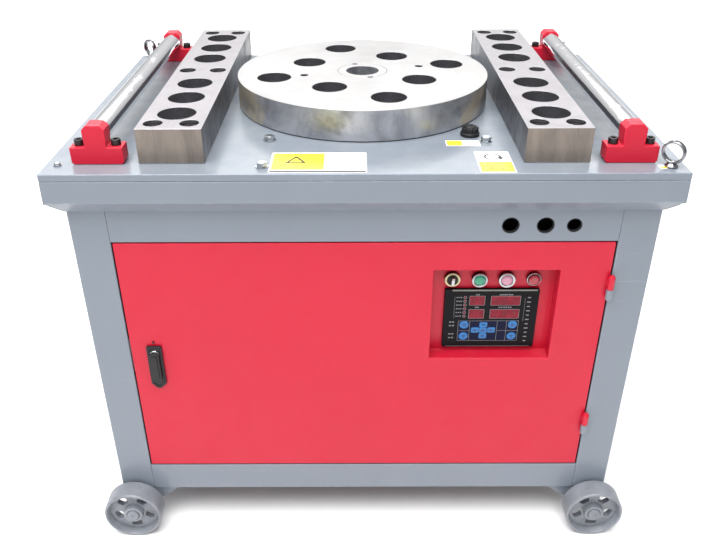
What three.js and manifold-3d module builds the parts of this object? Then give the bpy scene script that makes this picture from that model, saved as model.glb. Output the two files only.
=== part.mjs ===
// Rebar bender: a wheeled steel cabinet whose table carries a turning disc between two socket blocks and
// two guide rollers, with an oil-bath gear train, a belt and an upright motor inside, and the controls in a
// recess of the door. Millimetres, +Z up. The origin is on the floor below the middle of the table, and +Y
// runs away from the operator.
import * as THREE from "three";
import { mergeVertices } from "three/addons/utils/BufferGeometryUtils.js";
import Module from "manifold-3d";

const wasm = await Module();
wasm.setup();

// ---------------------------------------------------------------- clearances
const TOUCH = 0.3; // between two pieces that rest on or against each other
const RUN = 0.6; // radial, round a piece that turns or slides
const OVER = 1; // how far a cutting tool, or a piece joined to another, runs past the face

// ---------------------------------------------------------------- sides of round pieces
const SIDES_LARGE = 64;
const SIDES_MEDIUM = 28;
const SIDES_WHEEL = 18;
const SIDES_SMALL = 16;
const SIDES_TINY = 10;

// ---------------------------------------------------------------- disc and spindle
const DISC_R = 199.5;
const DISC_T = 45.7;
const DISC_LIFT = 1.6; // gap between the table and the disc
const PIN_R = 26.5; // bending-pin sockets of the disc and the blocks
const OUTER_PIN_EDGE = 55.8; // outer ring of sockets: from the disc's edge to a socket's centre
const OUTER_PIN_TURN = 15; // degrees
const INNER_PIN_EDGE = 98.3;
const INNER_PIN_TURN = 60;
const LIFT_HOLE_R = 6.5;
const LIFT_HOLE_EDGE = 103.8;
const LIFT_HOLE_TURN = 15;
const SPINDLE_R = 39.5;
const SPINDLE_BORE_R = 26;
const SPINDLE_BORE_DEPTH = 62;
const SPINDLE_JOURNAL_R = 30;
const SPINDLE_SHOULDER = 15; // below the bull gear

// ---------------------------------------------------------------- socket blocks
const BLOCK_GAP = 13.5; // disc to block
const BLOCK_W = 88.2;
const BLOCK_H = 48.3;
const BLOCK_SOCKETS = 6;
const BLOCK_PITCH = 70.4;
const BLOCK_MID_PITCH = 142; // between the two sockets beside the middle bolts
const BLOCK_FRONT_MARGIN = 36.3; // from the table's front edge
const BLOCK_BOLT_R = 13; // counterbore
const BLOCK_BOLT_HOLE_R = 8;
const BLOCK_BOLT_SINK = 14;
const BLOCK_BOLT_X = 24.3;
const BLOCK_BOLT_END = 23.4; // from the block's end to the bolts' centres

// ---------------------------------------------------------------- guide rollers and their brackets
const BRACKET_GAP = 18.3; // block to bracket
const BRACKET_W = 70;
const BRACKET_D = 25;
const BRACKET_BASE_H = 23.5;
const BRACKET_NECK_W = 28; // upright, where it leaves the base
const BRACKET_FOOT_CHAMFER = 3;
const CROWN_CHAMFER = 6;
const CROWN_SIDE = 0.5; // crown beyond the roller's radius, on each side
const BRACKET_FRONT_MARGIN = 34; // from the table's front edge
const BRACKET_REAR_MARGIN = 21;
const ROLLER_R = 14.5;
const ROLLER_Z = 37; // axis above the table
const ROLLER_WALL = 2; // crown over the roller's top
const JOURNAL_R = 7;
const JOURNAL_L = 15;

// ---------------------------------------------------------------- table
const TABLE_SIDE_MARGIN = 35.5; // bracket to the table's side edge
const TABLE_W = 2 * (DISC_R + BLOCK_GAP + BLOCK_W + BRACKET_GAP + BRACKET_W + TABLE_SIDE_MARGIN);
const TABLE_D = 586.6;
const DISC_BACK = 18; // disc's centre behind the table's
const TABLE_TOP = 655;
const PLATE_T = 10;
const APRON_H = 31.5;
const APRON_T = 4;
const APRON_SLOPE_H = 21.2;
const OVERHANG = 20; // of the table over the cabinet, on each side
const CAP_R = 14; // oil filler cap
const CAP_H = 14;
const CAP_TOP_R = 12;
const CAP_SKIRT_H = 8;
const CAP_EDGE = 29.9; // from the disc's edge to the cap's centre
const CAP_TURN = -47.8; // degrees
const EYE_R = 12.5; // middle of the eyebolt's ring
const EYE_WIRE_R = 3.8;
const EYE_COLLAR_R = 9;
const EYE_COLLAR_H = 6;
const EYE_SINK = 2; // ring into its collar
const EYE_SIDE = 21.5; // from the table's side and front edges
const EYE_TURN = -40; // degrees, of the ring's plane

// ---------------------------------------------------------------- cabinet
const CABINET_BOTTOM = 75.4;
const POST_LEG = 52.5;
const STEEL_T = 5;
const PANEL_T = 2.5;
const TOP_RAIL_H = 47;
const BOTTOM_RAIL_H = 51.4;
const CABLE_HOLES = [
  { side: 204.2, r: 12.2 }, // side: from the cabinet's right side to the hole's centre
  { side: 156.4, r: 12.2 },
  { side: 116.7, r: 10.6 },
];
const CABLE_HOLE_DROP = 22.8; // below the apron

// ---------------------------------------------------------------- wheels
const WHEEL_R = 46.6;
const WHEEL_W = 33.4;
const WHEEL_SIDE = 20.1; // wheel's centre, in from the cabinet's side
const WHEEL_RIM_T = 8;
const WHEEL_WEB_T = 10;
const WHEEL_HUB_R = 15;
const WHEEL_HOLES = 5;
const WHEEL_HOLE_R = 6;
const WHEEL_GAP = 3;
const AXLE_R = 10;
const HANGER_T = 8;
const HANGER_UP = 40; // overlap behind the cabinet's lower edge
const HANGER_W = 90;
const HANGER_FOOT = 20; // below the axle
const HANGER_SLOPE = 1.35; // run of the inner edge for each millimetre that it drops

// ---------------------------------------------------------------- door
const DOOR_GAP = 2.5;
const DOOR_SHEET = 2;
const DOOR_FLANGE = 18;
const RECESS_W = 180.5;
const RECESS_H = 155;
const RECESS_DEPTH = 25;
const RECESS_SIDE = 70.8; // from the door's hinge edge
const RECESS_TOP = 44.3; // from the door's upper edge
const HINGE_R = 5;
const HINGE_PIN_R = 3;
const HINGE_UPPER_H = 22;
const HINGE_LOWER_H = 19;
const HINGE_END_R = 3; // of the rounded outer ends
const HINGE_END_H = 3;
const HINGE_SOCKET_END = 6; // solid end of the sleeve above the pin
const HINGE_FROM_TOP = 73; // door's upper edge to the upper hinge's joint
const HINGE_FROM_BOTTOM = 88;

// ---------------------------------------------------------------- controls in the door's recess
const CONTROL_PITCH = 39.6;
const CONTROL_SIDE = 30.3; // recess's left wall to the first control
const CONTROL_TOP = 27; // recess's upper wall to the row
const CONTROL_HOLE_R = 8.5;
const BUTTON_R = 8;
const BUTTON_STEM_R = 6.5;
const BUTTON_PROUD = 10;
const BUTTON_TRAVEL = 3.5;
const BUTTON_CAP_T = 5;
const BUTTON_EDGE_R = 1.5;
const BUTTON_EDGE_H = 1;
const STEM_BACK = 12;
const KEY_R = 7;
const KEY_LEVER_L = 14;
const KEY_LEVER_T = 4;
const KEY_LEVER_PROUD = 9;
const KEY_LEVER_TURN = 6; // degrees from upright
const PANEL_W = 139.5;
const PANEL_H = 103.3;
const PANEL_PROUD = 6;
const PANEL_SIDE = 20.4;
const PANEL_TOP = 43.6;

// ---------------------------------------------------------------- door lock
const LOCK_W = 23;
const LOCK_H = 78;
const LOCK_POINT = 9; // height of the pointed lower end
const LOCK_T = 4;
const LOCK_SIDE = 35; // from the door's free edge to the lock's middle
const LOCK_DROP = 173; // from the door's upper edge to the lock's upper end
const BARREL_DROP = 14; // from the lock's upper end to the barrel
const BARREL_R = 7;
const BARREL_BACK = 24;
const CAM_W = 12;
const CAM_L = 54;
const CAM_T = 3;
const HANDLE_W = 15;
const HANDLE_L = 50;
const HANDLE_T = 6;
const HANDLE_PIVOT_R = 3;
const HANDLE_CORNER_W = 4;
const HANDLE_CORNER_H = 6;
const BARREL_PROUD = 1; // in front of the housing

// ---------------------------------------------------------------- gear train, in plan from the spindle
const BULL = { module: 5, teeth: 48, low: 586, high: 626 };
const LAY_PINION = { module: 5, teeth: 15, low: 583, high: 629 };
const LAY_WHEEL = { module: 4, teeth: 40, low: 552, high: 577 };
const INPUT_PINION = { module: 4, teeth: 15, low: 550, high: 579 };
const BACKLASH = 0.5;
const PRESSURE_ANGLE = 20; // degrees
const ROOT_DEPTH = 1.25; // in modules
const LAY_TURN = 48; // degrees, spindle to layshaft
const INPUT_TURN = 160; // degrees, layshaft to input shaft
const SHAFT_R = 16;
const SHAFT_END_R = 12.5;
const SHAFT_SHOULDER = 3; // large diameter of a shaft past its lowest gear
const SHAFT_TOP_GAP = 2; // shoulder to the cover
const SHAFT_TAIL = 4; // input shaft below its pulley

// ---------------------------------------------------------------- gearbox
const BOX_LEFT = -153; // outside
const BOX_RIGHT = 202;
const BOX_HALF_D = 214;
const BOX_WALL = 8;
const BOX_BOTTOM = 535;
const BOX_FLOOR_T = 10;
const COVER_T = 8;
const SEAT_DEPTH = 5; // of a shaft end in the gearbox's floor and cover
const NECK_R = 56; // cover's neck that holds the spindle in the table

// ---------------------------------------------------------------- belt drive and motor
const BELT_Z = 484;
const BELT_W = 22;
const BELT_FOOT_W = 12;
const BELT_T = 14;
const BELT_PITCH_DEPTH = 4.5; // belt's back to its pitch line
const BIG_PULLEY_R = 80; // pitch radii
const SMALL_PULLEY_R = 40;
const PULLEY_LIP = 3; // rim over the belt's back
const PULLEY_FLANGE = 5;
const MOTOR_X = -235;
const MOTOR_Y = -60;
const MOTOR_R = 88;
const MOTOR_FINS = 16;
const MOTOR_FIN_H = 8;
const MOTOR_FIN_ROOT = 0.35; // half widths, as shares of the pitch
const MOTOR_FIN_TIP = 0.15;
const MOTOR_H = 250;
const MOTOR_FLANGE_R = 100;
const MOTOR_FLANGE_T = 12;
const MOTOR_COWL_H = 60;
const MOTOR_SHAFT_R = 14;
const MOTOR_SHAFT_SINK = 30;
const MOTOR_SHAFT_END_GAP = 2;
const TERMINAL = { w: 70, d: 40, h: 90, sink: 12, up: 20 };
const SHELF_T = 10;
const SHELF_GAP = 16; // shelf to the motor pulley
const SHELF_HOLE_R = 40;
const SHELF_MARGIN = 108; // from the motor's axis to the shelf's edges
const RIB_X = 80;
const RIB_Z = 130;
const RIB_T = 8;

// ---------------------------------------------------------------- places worked out from the sizes
const RAD = Math.PI / 180;
const tableX = TABLE_W / 2;
const tableY = TABLE_D / 2;
const plateBottom = TABLE_TOP - PLATE_T;
const apronBottom = plateBottom - APRON_H - APRON_SLOPE_H;
const cabinetX = tableX - OVERHANG;
const cabinetY = tableY - OVERHANG;
const discBottom = TABLE_TOP + DISC_LIFT;
const discTop = discBottom + DISC_T;
const blockX = DISC_R + BLOCK_GAP + BLOCK_W / 2;
const blockL = 2 * (tableY + DISC_BACK - BLOCK_FRONT_MARGIN);
const bracketX = tableX - TABLE_SIDE_MARGIN - BRACKET_W / 2;
const bracketFront = -tableY + BRACKET_FRONT_MARGIN; // outer faces
const bracketRear = tableY - BRACKET_REAR_MARGIN;
const doorX = cabinetX - POST_LEG - DOOR_GAP;
const doorTop = apronBottom - TOP_RAIL_H - DOOR_GAP;
const doorBottom = CABINET_BOTTOM + BOTTOM_RAIL_H + DOOR_GAP;
const doorFront = -cabinetY;
const hingeX = doorX + DOOR_GAP / 2;
const hingeY = doorFront - HINGE_R - TOUCH;
const recessRight = doorX - RECESS_SIDE;
const recessLeft = recessRight - RECESS_W;
const recessTop = doorTop - RECESS_TOP;
const recessBottom = recessTop - RECESS_H;
const recessBack = doorFront + RECESS_DEPTH;
const wheelX = cabinetX - WHEEL_SIDE;
const wheelInner = cabinetY + WHEEL_GAP;
const lay = polar(centreDistance(BULL, LAY_PINION), LAY_TURN);
const input = polar(centreDistance(LAY_WHEEL, INPUT_PINION), INPUT_TURN).add(lay);
const motorPlace = new THREE.Vector2(MOTOR_X, MOTOR_Y);
const pulleyHalfW = BELT_W / 2 + PULLEY_FLANGE;
const shelfTop = BELT_Z - pulleyHalfW - SHELF_GAP;

// ---------------------------------------------------------------- materials
function finish(color, roughness, metalness) {
  return new THREE.MeshStandardMaterial({ color, roughness, metalness });
}

const material = {
  greyPaint: finish(0x97a0a7, 0.5, 0.1),
  redPaint: finish(0xdc3c50, 0.45, 0.1),
  steel: finish(0xb9b8b4, 0.35, 0.9),
  darkSteel: finish(0x6e6862, 0.5, 0.9),
  chrome: finish(0xd8d8da, 0.12, 1),
  blackPlastic: finish(0x16171a, 0.45, 0),
  greenLens: finish(0x1f8f5a, 0.3, 0),
  redLens: finish(0xc4202a, 0.3, 0),
  whiteLens: finish(0xf0dcdc, 0.3, 0),
  castIron: finish(0x4f5a60, 0.6, 0.6),
  motorPaint: finish(0x3d5a73, 0.5, 0.2),
  rubber: finish(0x1c1c1c, 0.85, 0),
  wheelPaint: finish(0x9a9fa3, 0.55, 0.3),
};

const machine = new THREE.Group();
let middleY = 0; // of the group that is being built, from the table's middle

// Adds a sub-part to the machine, with its origin at (x, y, z) from the group's middle.
function add(name, geometry, finishOf, x = 0, y = 0, z = 0) {
  const mesh = new THREE.Mesh(geometry, finishOf.clone());
  mesh.name = name;
  mesh.position.set(x, middleY + y, z);
  machine.add(mesh);
  return mesh;
}

// ---------------------------------------------------------------- solids
function solidOf(geometry) {
  const bare = geometry.clone();
  bare.deleteAttribute("normal");
  bare.deleteAttribute("uv");
  const merged = mergeVertices(bare, 1e-4);
  const corners = merged.index.array;
  const kept = [];
  for (let i = 0; i < corners.length; i += 3) {
    const [a, b, c] = [corners[i], corners[i + 1], corners[i + 2]];
    if (a !== b && b !== c && c !== a) kept.push(a, b, c);
  }
  return new wasm.Manifold(
    new wasm.Mesh({
      numProp: 3,
      vertProperties: new Float32Array(merged.attributes.position.array),
      triVerts: new Uint32Array(kept),
    }),
  );
}

function geometryOf(solid) {
  const mesh = solid.getMesh();
  const geometry = new THREE.BufferGeometry();
  geometry.setAttribute("position", new THREE.BufferAttribute(new Float32Array(mesh.vertProperties), 3));
  geometry.setIndex(new THREE.BufferAttribute(new Uint32Array(mesh.triVerts), 1));
  const flat = geometry.toNonIndexed();
  flat.computeVertexNormals();
  return flat;
}

function join(...pieces) {
  const solids = pieces.map(solidOf);
  return geometryOf(solids.reduce((whole, next) => whole.add(next)));
}

function cut(base, ...tools) {
  const solids = tools.map(solidOf);
  return geometryOf(solids.reduce((rest, tool) => rest.subtract(tool), solidOf(base)));
}

function box(x0, x1, y0, y1, z0, z1) {
  const geometry = new THREE.BoxGeometry(x1 - x0, y1 - y0, z1 - z0);
  return geometry.translate((x0 + x1) / 2, (y0 + y1) / 2, (z0 + z1) / 2);
}

function circle(r, sides, x = 0, y = 0, turn = 0) {
  const points = [];
  for (let i = 0; i < sides; i++) {
    const angle = turn + (2 * Math.PI * i) / sides;
    points.push(new THREE.Vector2(x + r * Math.cos(angle), y + r * Math.sin(angle)));
  }
  return points;
}

// A hole whose flats, not its corners, are at radius r.
function holeCircle(r, sides, x = 0, y = 0) {
  return circle(r / Math.cos(Math.PI / sides), sides, x, y, Math.PI / sides);
}

function outline(points, holes = []) {
  const shape = new THREE.Shape(points);
  for (const hole of holes) shape.holes.push(new THREE.Path(hole));
  return shape;
}

function polygon(pairs) {
  return pairs.map(([x, y]) => new THREE.Vector2(x, y));
}

// Extrusions along each axis: the outline is drawn in XY, XZ or YZ.
function alongZ(shape, low, high) {
  return new THREE.ExtrudeGeometry(shape, { depth: high - low, bevelEnabled: false }).translate(0, 0, low);
}

function alongY(shape, near, far) {
  const geometry = new THREE.ExtrudeGeometry(shape, { depth: far - near, bevelEnabled: false });
  return geometry.rotateX(Math.PI / 2).translate(0, far, 0);
}

function alongX(shape, left, right) {
  const geometry = new THREE.ExtrudeGeometry(shape, { depth: right - left, bevelEnabled: false });
  const basis = new THREE.Matrix4().makeBasis(
    new THREE.Vector3(0, 1, 0),
    new THREE.Vector3(0, 0, 1),
    new THREE.Vector3(1, 0, 0),
  );
  return geometry.applyMatrix4(basis).translate(left, 0, 0);
}

function cylinder(r, sides, low, high, x = 0, y = 0) {
  return alongZ(outline(circle(r, sides, x, y)), low, high);
}

// A turned solid round Z: pairs of radius and height, from the axis to the axis or closed on itself.
function turned(pairs, sides, start = 0) {
  return new THREE.LatheGeometry(polygon(pairs), sides, start).rotateX(Math.PI / 2);
}

// The same solid turned round Y, with heights running along -Y, towards the operator.
function turnedForward(pairs, sides, start = 0) {
  return new THREE.LatheGeometry(polygon(pairs), sides, start).rotateX(Math.PI);
}

function polar(radius, degrees) {
  return new THREE.Vector2(radius * Math.cos(degrees * RAD), radius * Math.sin(degrees * RAD));
}

function centreDistance(a, b) {
  return (a.module * (a.teeth + b.teeth)) / 2;
}

function named(front, left) {
  return (front ? "front_" : "rear_") + (left ? "left" : "right");
}

// Calls make for the four corners with their name and the signs of their x and y.
function eachCorner(make) {
  for (const front of [true, false]) {
    for (const left of [true, false]) make(named(front, left), left ? -1 : 1, front ? -1 : 1);
  }
}

// ---------------------------------------------------------------- table
function buildTable() {
  const rim = polygon([
    [-tableX, -tableY],
    [tableX, -tableY],
    [tableX, tableY],
    [-tableX, tableY],
  ]);
  const holes = [holeCircle(NECK_R + TOUCH, SIDES_MEDIUM, 0, DISC_BACK)];
  add("table_plate", alongZ(outline(rim, holes), plateBottom, TABLE_TOP), material.greyPaint);
}

// One side of the apron under the table: a sheet with a sloped lower part, mitred at both ends.
function apronSide(halfLength, halfDepth) {
  const top = plateBottom - TOUCH;
  const knee = plateBottom - APRON_H;
  const inner = OVERHANG - TOUCH;
  const section = polygon([
    [0, top],
    [0, knee],
    [inner, apronBottom],
    [inner, apronBottom + APRON_T * Math.SQRT2],
    [APRON_T, knee + APRON_T * (Math.SQRT2 - 1)],
    [APRON_T, top],
  ]);
  const geometry = new THREE.ExtrudeGeometry(outline(section), { depth: 1, bevelEnabled: false });
  const position = geometry.attributes.position;
  for (let i = 0; i < position.count; i++) {
    const inset = position.getX(i);
    const end = halfLength - inset - TOUCH / 2;
    const along = position.getZ(i) < 0.5 ? -end : end;
    position.setXYZ(i, along, inset - halfDepth, position.getY(i));
  }
  geometry.computeVertexNormals();
  return geometry;
}

function buildAprons() {
  add("front_apron", apronSide(tableX, tableY), material.greyPaint);
  add("rear_apron", apronSide(tableX, tableY).rotateZ(Math.PI), material.greyPaint);
  add("right_apron", apronSide(tableY, tableX).rotateZ(Math.PI / 2), material.greyPaint);
  add("left_apron", apronSide(tableY, tableX).rotateZ(-Math.PI / 2), material.greyPaint);
}

// ---------------------------------------------------------------- cabinet frame and panels
function buildCabinet() {
  const frameTop = plateBottom - TOUCH;
  eachCorner((corner, sx, sy) => {
    const leg = POST_LEG;
    const angle = polygon([
      [0, 0],
      [leg, 0],
      [leg, STEEL_T],
      [STEEL_T, STEEL_T],
      [STEEL_T, leg],
      [0, leg],
    ]).map((p) => new THREE.Vector2(sx * (cabinetX - p.x), sy * (cabinetY - p.y)));
    add("corner_post_" + corner, alongZ(outline(angle), CABINET_BOTTOM, frameTop), material.greyPaint);
  });

  const railX = cabinetX - POST_LEG - TOUCH;
  const holes = CABLE_HOLES.map((hole) =>
    holeCircle(hole.r, SIDES_SMALL, cabinetX - hole.side, apronBottom - CABLE_HOLE_DROP),
  );
  const topRail = polygon([
    [-railX, apronBottom - TOP_RAIL_H],
    [railX, apronBottom - TOP_RAIL_H],
    [railX, frameTop],
    [-railX, frameTop],
  ]);
  add("front_top_rail", alongY(outline(topRail, holes), -cabinetY, STEEL_T - cabinetY), material.greyPaint);
  add(
    "front_bottom_rail",
    box(-railX, railX, -cabinetY, STEEL_T - cabinetY, CABINET_BOTTOM, CABINET_BOTTOM + BOTTOM_RAIL_H),
    material.greyPaint,
  );

  const panelOut = STEEL_T + TOUCH;
  const sideX = cabinetX - panelOut;
  const rearY = cabinetY - panelOut;
  const sideY = rearY - PANEL_T - TOUCH;
  for (const [name, sign] of [["left_panel", -1], ["right_panel", 1]]) {
    const faces = [sign * sideX, sign * (sideX - PANEL_T)].sort((a, b) => a - b);
    add(name, box(...faces, -sideY, sideY, CABINET_BOTTOM, frameTop), material.greyPaint);
  }
  const rearX = sideX - PANEL_T - TOUCH;
  add("rear_panel", box(-rearX, rearX, rearY - PANEL_T, rearY, CABINET_BOTTOM, frameTop), material.redPaint);
}

// ---------------------------------------------------------------- wheels on stub axles
function wheelGeometry() {
  const rim = WHEEL_R / Math.cos(Math.PI / SIDES_WHEEL);
  const half = WHEEL_W / 2;
  const web = WHEEL_WEB_T / 2;
  const rimInner = WHEEL_R - WHEEL_RIM_T;
  const bore = AXLE_R + RUN;
  const body = turned(
    [
      [bore, -half],
      [WHEEL_HUB_R, -half],
      [WHEEL_HUB_R, -web],
      [rimInner, -web],
      [rimInner, -half],
      [rim, -half],
      [rim, half],
      [rimInner, half],
      [rimInner, web],
      [WHEEL_HUB_R, web],
      [WHEEL_HUB_R, half],
      [bore, half],
      [bore, -half],
    ],
    SIDES_WHEEL,
    Math.PI / SIDES_WHEEL,
  );
  const middle = (WHEEL_HUB_R + rimInner) / 2;
  const holes = [];
  for (let i = 0; i < WHEEL_HOLES; i++) {
    const at = polar(middle, 90 + (360 * i) / WHEEL_HOLES);
    holes.push(cylinder(WHEEL_HOLE_R, 8, -half, half, at.x, at.y));
  }
  return cut(body, ...holes).rotateX(Math.PI / 2);
}

// A plate behind the cabinet's lower edge that drops below it, with the wheel's stub axle.
function hangerGeometry(sx, sy) {
  const outer = cabinetX - STEEL_T - 2 * TOUCH - PANEL_T - TOUCH;
  const inner = outer - HANGER_W;
  const foot = WHEEL_R - HANGER_FOOT;
  const slope = CABINET_BOTTOM - foot;
  const face = polygon([
    [outer, CABINET_BOTTOM + HANGER_UP],
    [inner, CABINET_BOTTOM + HANGER_UP],
    [inner, CABINET_BOTTOM],
    [inner + slope * HANGER_SLOPE, foot],
    [outer, foot],
  ]);
  const behindPanel = sy > 0 ? PANEL_T + TOUCH : 0;
  const near = cabinetY - STEEL_T - TOUCH - behindPanel - HANGER_T;
  const plate = alongY(outline(face), near, near + HANGER_T);
  const axleFace = outline(circle(AXLE_R, SIDES_SMALL, wheelX, WHEEL_R));
  const axle = alongY(axleFace, near + OVER, wheelInner + WHEEL_W - OVER);
  const whole = join(plate, axle);
  return sx * sy > 0 ? whole.rotateZ(sx > 0 ? 0 : Math.PI) : mirrored(whole, sx, sy);
}

// A mirrored copy, with its faces turned to point out again.
function mirrored(geometry, sx, sy) {
  const copy = geometry.clone().scale(sx, sy, 1);
  const position = copy.attributes.position;
  for (let i = 0; i < position.count; i += 3) {
    const first = [position.getX(i), position.getY(i), position.getZ(i)];
    position.setXYZ(i, position.getX(i + 2), position.getY(i + 2), position.getZ(i + 2));
    position.setXYZ(i + 2, ...first);
  }
  copy.computeVertexNormals();
  return copy;
}

function buildWheels() {
  eachCorner((corner, sx, sy) => {
    add("wheel_hanger_" + corner, hangerGeometry(sx, sy), material.greyPaint);
    const y = sy * (wheelInner + WHEEL_W / 2);
    add("wheel_" + corner, wheelGeometry(), material.wheelPaint, sx * wheelX, y, WHEEL_R);
  });
}

// ---------------------------------------------------------------- socket blocks
function blockGeometry() {
  const halfW = BLOCK_W / 2;
  const halfL = blockL / 2;
  const rim = polygon([
    [-halfW, -halfL],
    [halfW, -halfL],
    [halfW, halfL],
    [-halfW, halfL],
  ]);
  const sockets = [];
  for (let i = 0; i < BLOCK_SOCKETS / 2; i++) {
    const y = BLOCK_MID_PITCH / 2 + i * BLOCK_PITCH;
    sockets.push(holeCircle(PIN_R, SIDES_SMALL, 0, y), holeCircle(PIN_R, SIDES_SMALL, 0, -y));
  }
  const bolts = [];
  for (const y of [-halfL + BLOCK_BOLT_END, 0, halfL - BLOCK_BOLT_END]) {
    for (const x of [-BLOCK_BOLT_X, BLOCK_BOLT_X]) bolts.push([x, y]);
  }
  const drilled = sockets.concat(bolts.map(([x, y]) => circle(BLOCK_BOLT_HOLE_R, SIDES_TINY, x, y)));
  const sinkFloor = BLOCK_H - BLOCK_BOLT_SINK;
  const sinks = bolts.map(([x, y]) => cylinder(BLOCK_BOLT_R, SIDES_TINY, sinkFloor, BLOCK_H + OVER, x, y));
  return cut(alongZ(outline(rim, drilled), 0, BLOCK_H), ...sinks);
}

function buildBlocks() {
  add("socket_block_left", blockGeometry(), material.steel, -blockX, 0, TABLE_TOP + TOUCH);
  add("socket_block_right", blockGeometry(), material.steel, blockX, 0, TABLE_TOP + TOUCH);
}

// ---------------------------------------------------------------- guide rollers
function bracketGeometry() {
  const crown = ROLLER_R + CROWN_SIDE;
  const crownTop = ROLLER_Z + ROLLER_R + ROLLER_WALL;
  const half = BRACKET_W / 2;
  const right = [
    [half - BRACKET_FOOT_CHAMFER, 0],
    [half, BRACKET_FOOT_CHAMFER],
    [half, BRACKET_BASE_H],
    [BRACKET_NECK_W / 2, BRACKET_BASE_H],
    [crown, ROLLER_Z],
    [crown, crownTop - CROWN_CHAMFER],
    [crown - CROWN_CHAMFER, crownTop],
  ];
  const left = right.map(([x, z]) => [-x, z]).reverse();
  const body = alongY(outline(polygon(right.concat(left))), 0, BRACKET_D);
  const bore = alongY(
    outline(holeCircle(JOURNAL_R + RUN, SIDES_SMALL, 0, ROLLER_Z)),
    BRACKET_D - JOURNAL_L - OVER,
    BRACKET_D + OVER,
  );
  return cut(body, bore);
}

function rollerGeometry() {
  const half = (bracketRear - bracketFront) / 2 - BRACKET_D - RUN;
  const end = half + RUN + JOURNAL_L;
  return turned(
    [
      [0, -end],
      [JOURNAL_R, -end],
      [JOURNAL_R, -half],
      [ROLLER_R, -half],
      [ROLLER_R, half],
      [JOURNAL_R, half],
      [JOURNAL_R, end],
      [0, end],
    ],
    SIDES_SMALL,
  ).rotateX(Math.PI / 2);
}

function buildRollers() {
  eachCorner((corner, sx, sy) => {
    const bracket = add("roller_bracket_" + corner, bracketGeometry(), material.redPaint);
    bracket.position.set(sx * bracketX, sy < 0 ? bracketFront : bracketRear, TABLE_TOP + TOUCH);
    bracket.rotation.z = sy < 0 ? 0 : Math.PI;
  });
  const z = TABLE_TOP + TOUCH + ROLLER_Z;
  const y = (bracketFront + bracketRear) / 2;
  add("guide_roller_left", rollerGeometry(), material.chrome, -bracketX, y, z);
  add("guide_roller_right", rollerGeometry(), material.chrome, bracketX, y, z);
}

// ---------------------------------------------------------------- eyebolts and the oil filler cap
function buildEyebolts() {
  const collar = cylinder(EYE_COLLAR_R, SIDES_TINY, 0, EYE_COLLAR_H);
  const ring = new THREE.TorusGeometry(EYE_R, EYE_WIRE_R, 6, SIDES_SMALL).rotateX(Math.PI / 2);
  const eye = join(collar, ring.translate(0, 0, EYE_COLLAR_H + EYE_R + EYE_WIRE_R - EYE_SINK));
  const x = tableX - EYE_SIDE;
  const y = tableY - EYE_SIDE;
  for (const [name, sign] of [["eyebolt_front_right", 1], ["eyebolt_rear_left", -1]]) {
    const bolt = add(name, eye.clone(), material.chrome, sign * x, -sign * y, TABLE_TOP + TOUCH);
    bolt.rotation.z = EYE_TURN * RAD;
  }
}

function buildOilCap() {
  const cap = turned(
    [
      [0, 0],
      [CAP_R, 0],
      [CAP_R, CAP_SKIRT_H],
      [CAP_TOP_R, CAP_H],
      [0, CAP_H],
    ],
    SIDES_SMALL,
  );
  const at = polar(DISC_R + CAP_EDGE, CAP_TURN);
  add("oil_filler_cap", cap, material.blackPlastic, at.x, at.y, TABLE_TOP + TOUCH);
}

// ---------------------------------------------------------------- disc and spindle
function buildDisc() {
  const outer = DISC_R - OUTER_PIN_EDGE;
  const inner = DISC_R - INNER_PIN_EDGE;
  const holes = [holeCircle(SPINDLE_R + TOUCH, SIDES_MEDIUM)];
  for (let i = 0; i < 4; i++) {
    const far = polar(outer, OUTER_PIN_TURN + 90 * i);
    const near = polar(inner, INNER_PIN_TURN + 90 * i);
    holes.push(holeCircle(PIN_R, SIDES_SMALL, far.x, far.y), holeCircle(PIN_R, SIDES_SMALL, near.x, near.y));
  }
  for (const turn of [LIFT_HOLE_TURN, LIFT_HOLE_TURN + 180]) {
    const at = polar(DISC_R - LIFT_HOLE_EDGE, turn);
    holes.push(holeCircle(LIFT_HOLE_R, SIDES_TINY, at.x, at.y));
  }
  const disc = alongZ(outline(circle(DISC_R, SIDES_LARGE), holes), discBottom, discTop);
  add("bending_disc", disc, material.steel);

  const floorTop = BOX_BOTTOM + BOX_FLOOR_T;
  const spindle = turned(
    [
      [0, floorTop - SEAT_DEPTH + TOUCH],
      [SPINDLE_JOURNAL_R, floorTop - SEAT_DEPTH + TOUCH],
      [SPINDLE_JOURNAL_R, BULL.low - SPINDLE_SHOULDER],
      [SPINDLE_R, BULL.low - SPINDLE_SHOULDER],
      [SPINDLE_R, discTop],
      [SPINDLE_BORE_R, discTop],
      [SPINDLE_BORE_R, discTop - SPINDLE_BORE_DEPTH],
      [0, discTop - SPINDLE_BORE_DEPTH],
    ],
    SIDES_MEDIUM,
  );
  add("spindle", spindle, material.steel);
}

// ---------------------------------------------------------------- gears
function involute(angle) {
  return Math.tan(angle) - angle;
}

// Spur gear outline with straight-sided teeth through the involute's points at the root and the tip.
function gearOutline({ module, teeth }, turn, boreR) {
  const pressure = PRESSURE_ANGLE * RAD;
  const pitchR = (module * teeth) / 2;
  const baseR = pitchR * Math.cos(pressure);
  const tipR = pitchR + module;
  const rootR = pitchR - ROOT_DEPTH * module;
  const halfTooth = (r) => {
    const flank = Math.acos(Math.min(1, baseR / Math.max(r, baseR)));
    return Math.PI / (2 * teeth) + involute(pressure) - involute(flank) - BACKLASH / (2 * pitchR);
  };
  const points = [];
  for (let i = 0; i < teeth; i++) {
    const middle = turn + (2 * Math.PI * i) / teeth;
    const at = (r, side) => {
      const angle = middle + side * halfTooth(r);
      points.push(new THREE.Vector2(r * Math.cos(angle), r * Math.sin(angle)));
    };
    at(rootR, -1);
    at(tipR, -1);
    at(tipR, 1);
    at(rootR, 1);
  }
  return outline(points, boreR ? [holeCircle(boreR, SIDES_SMALL)] : []);
}

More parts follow.
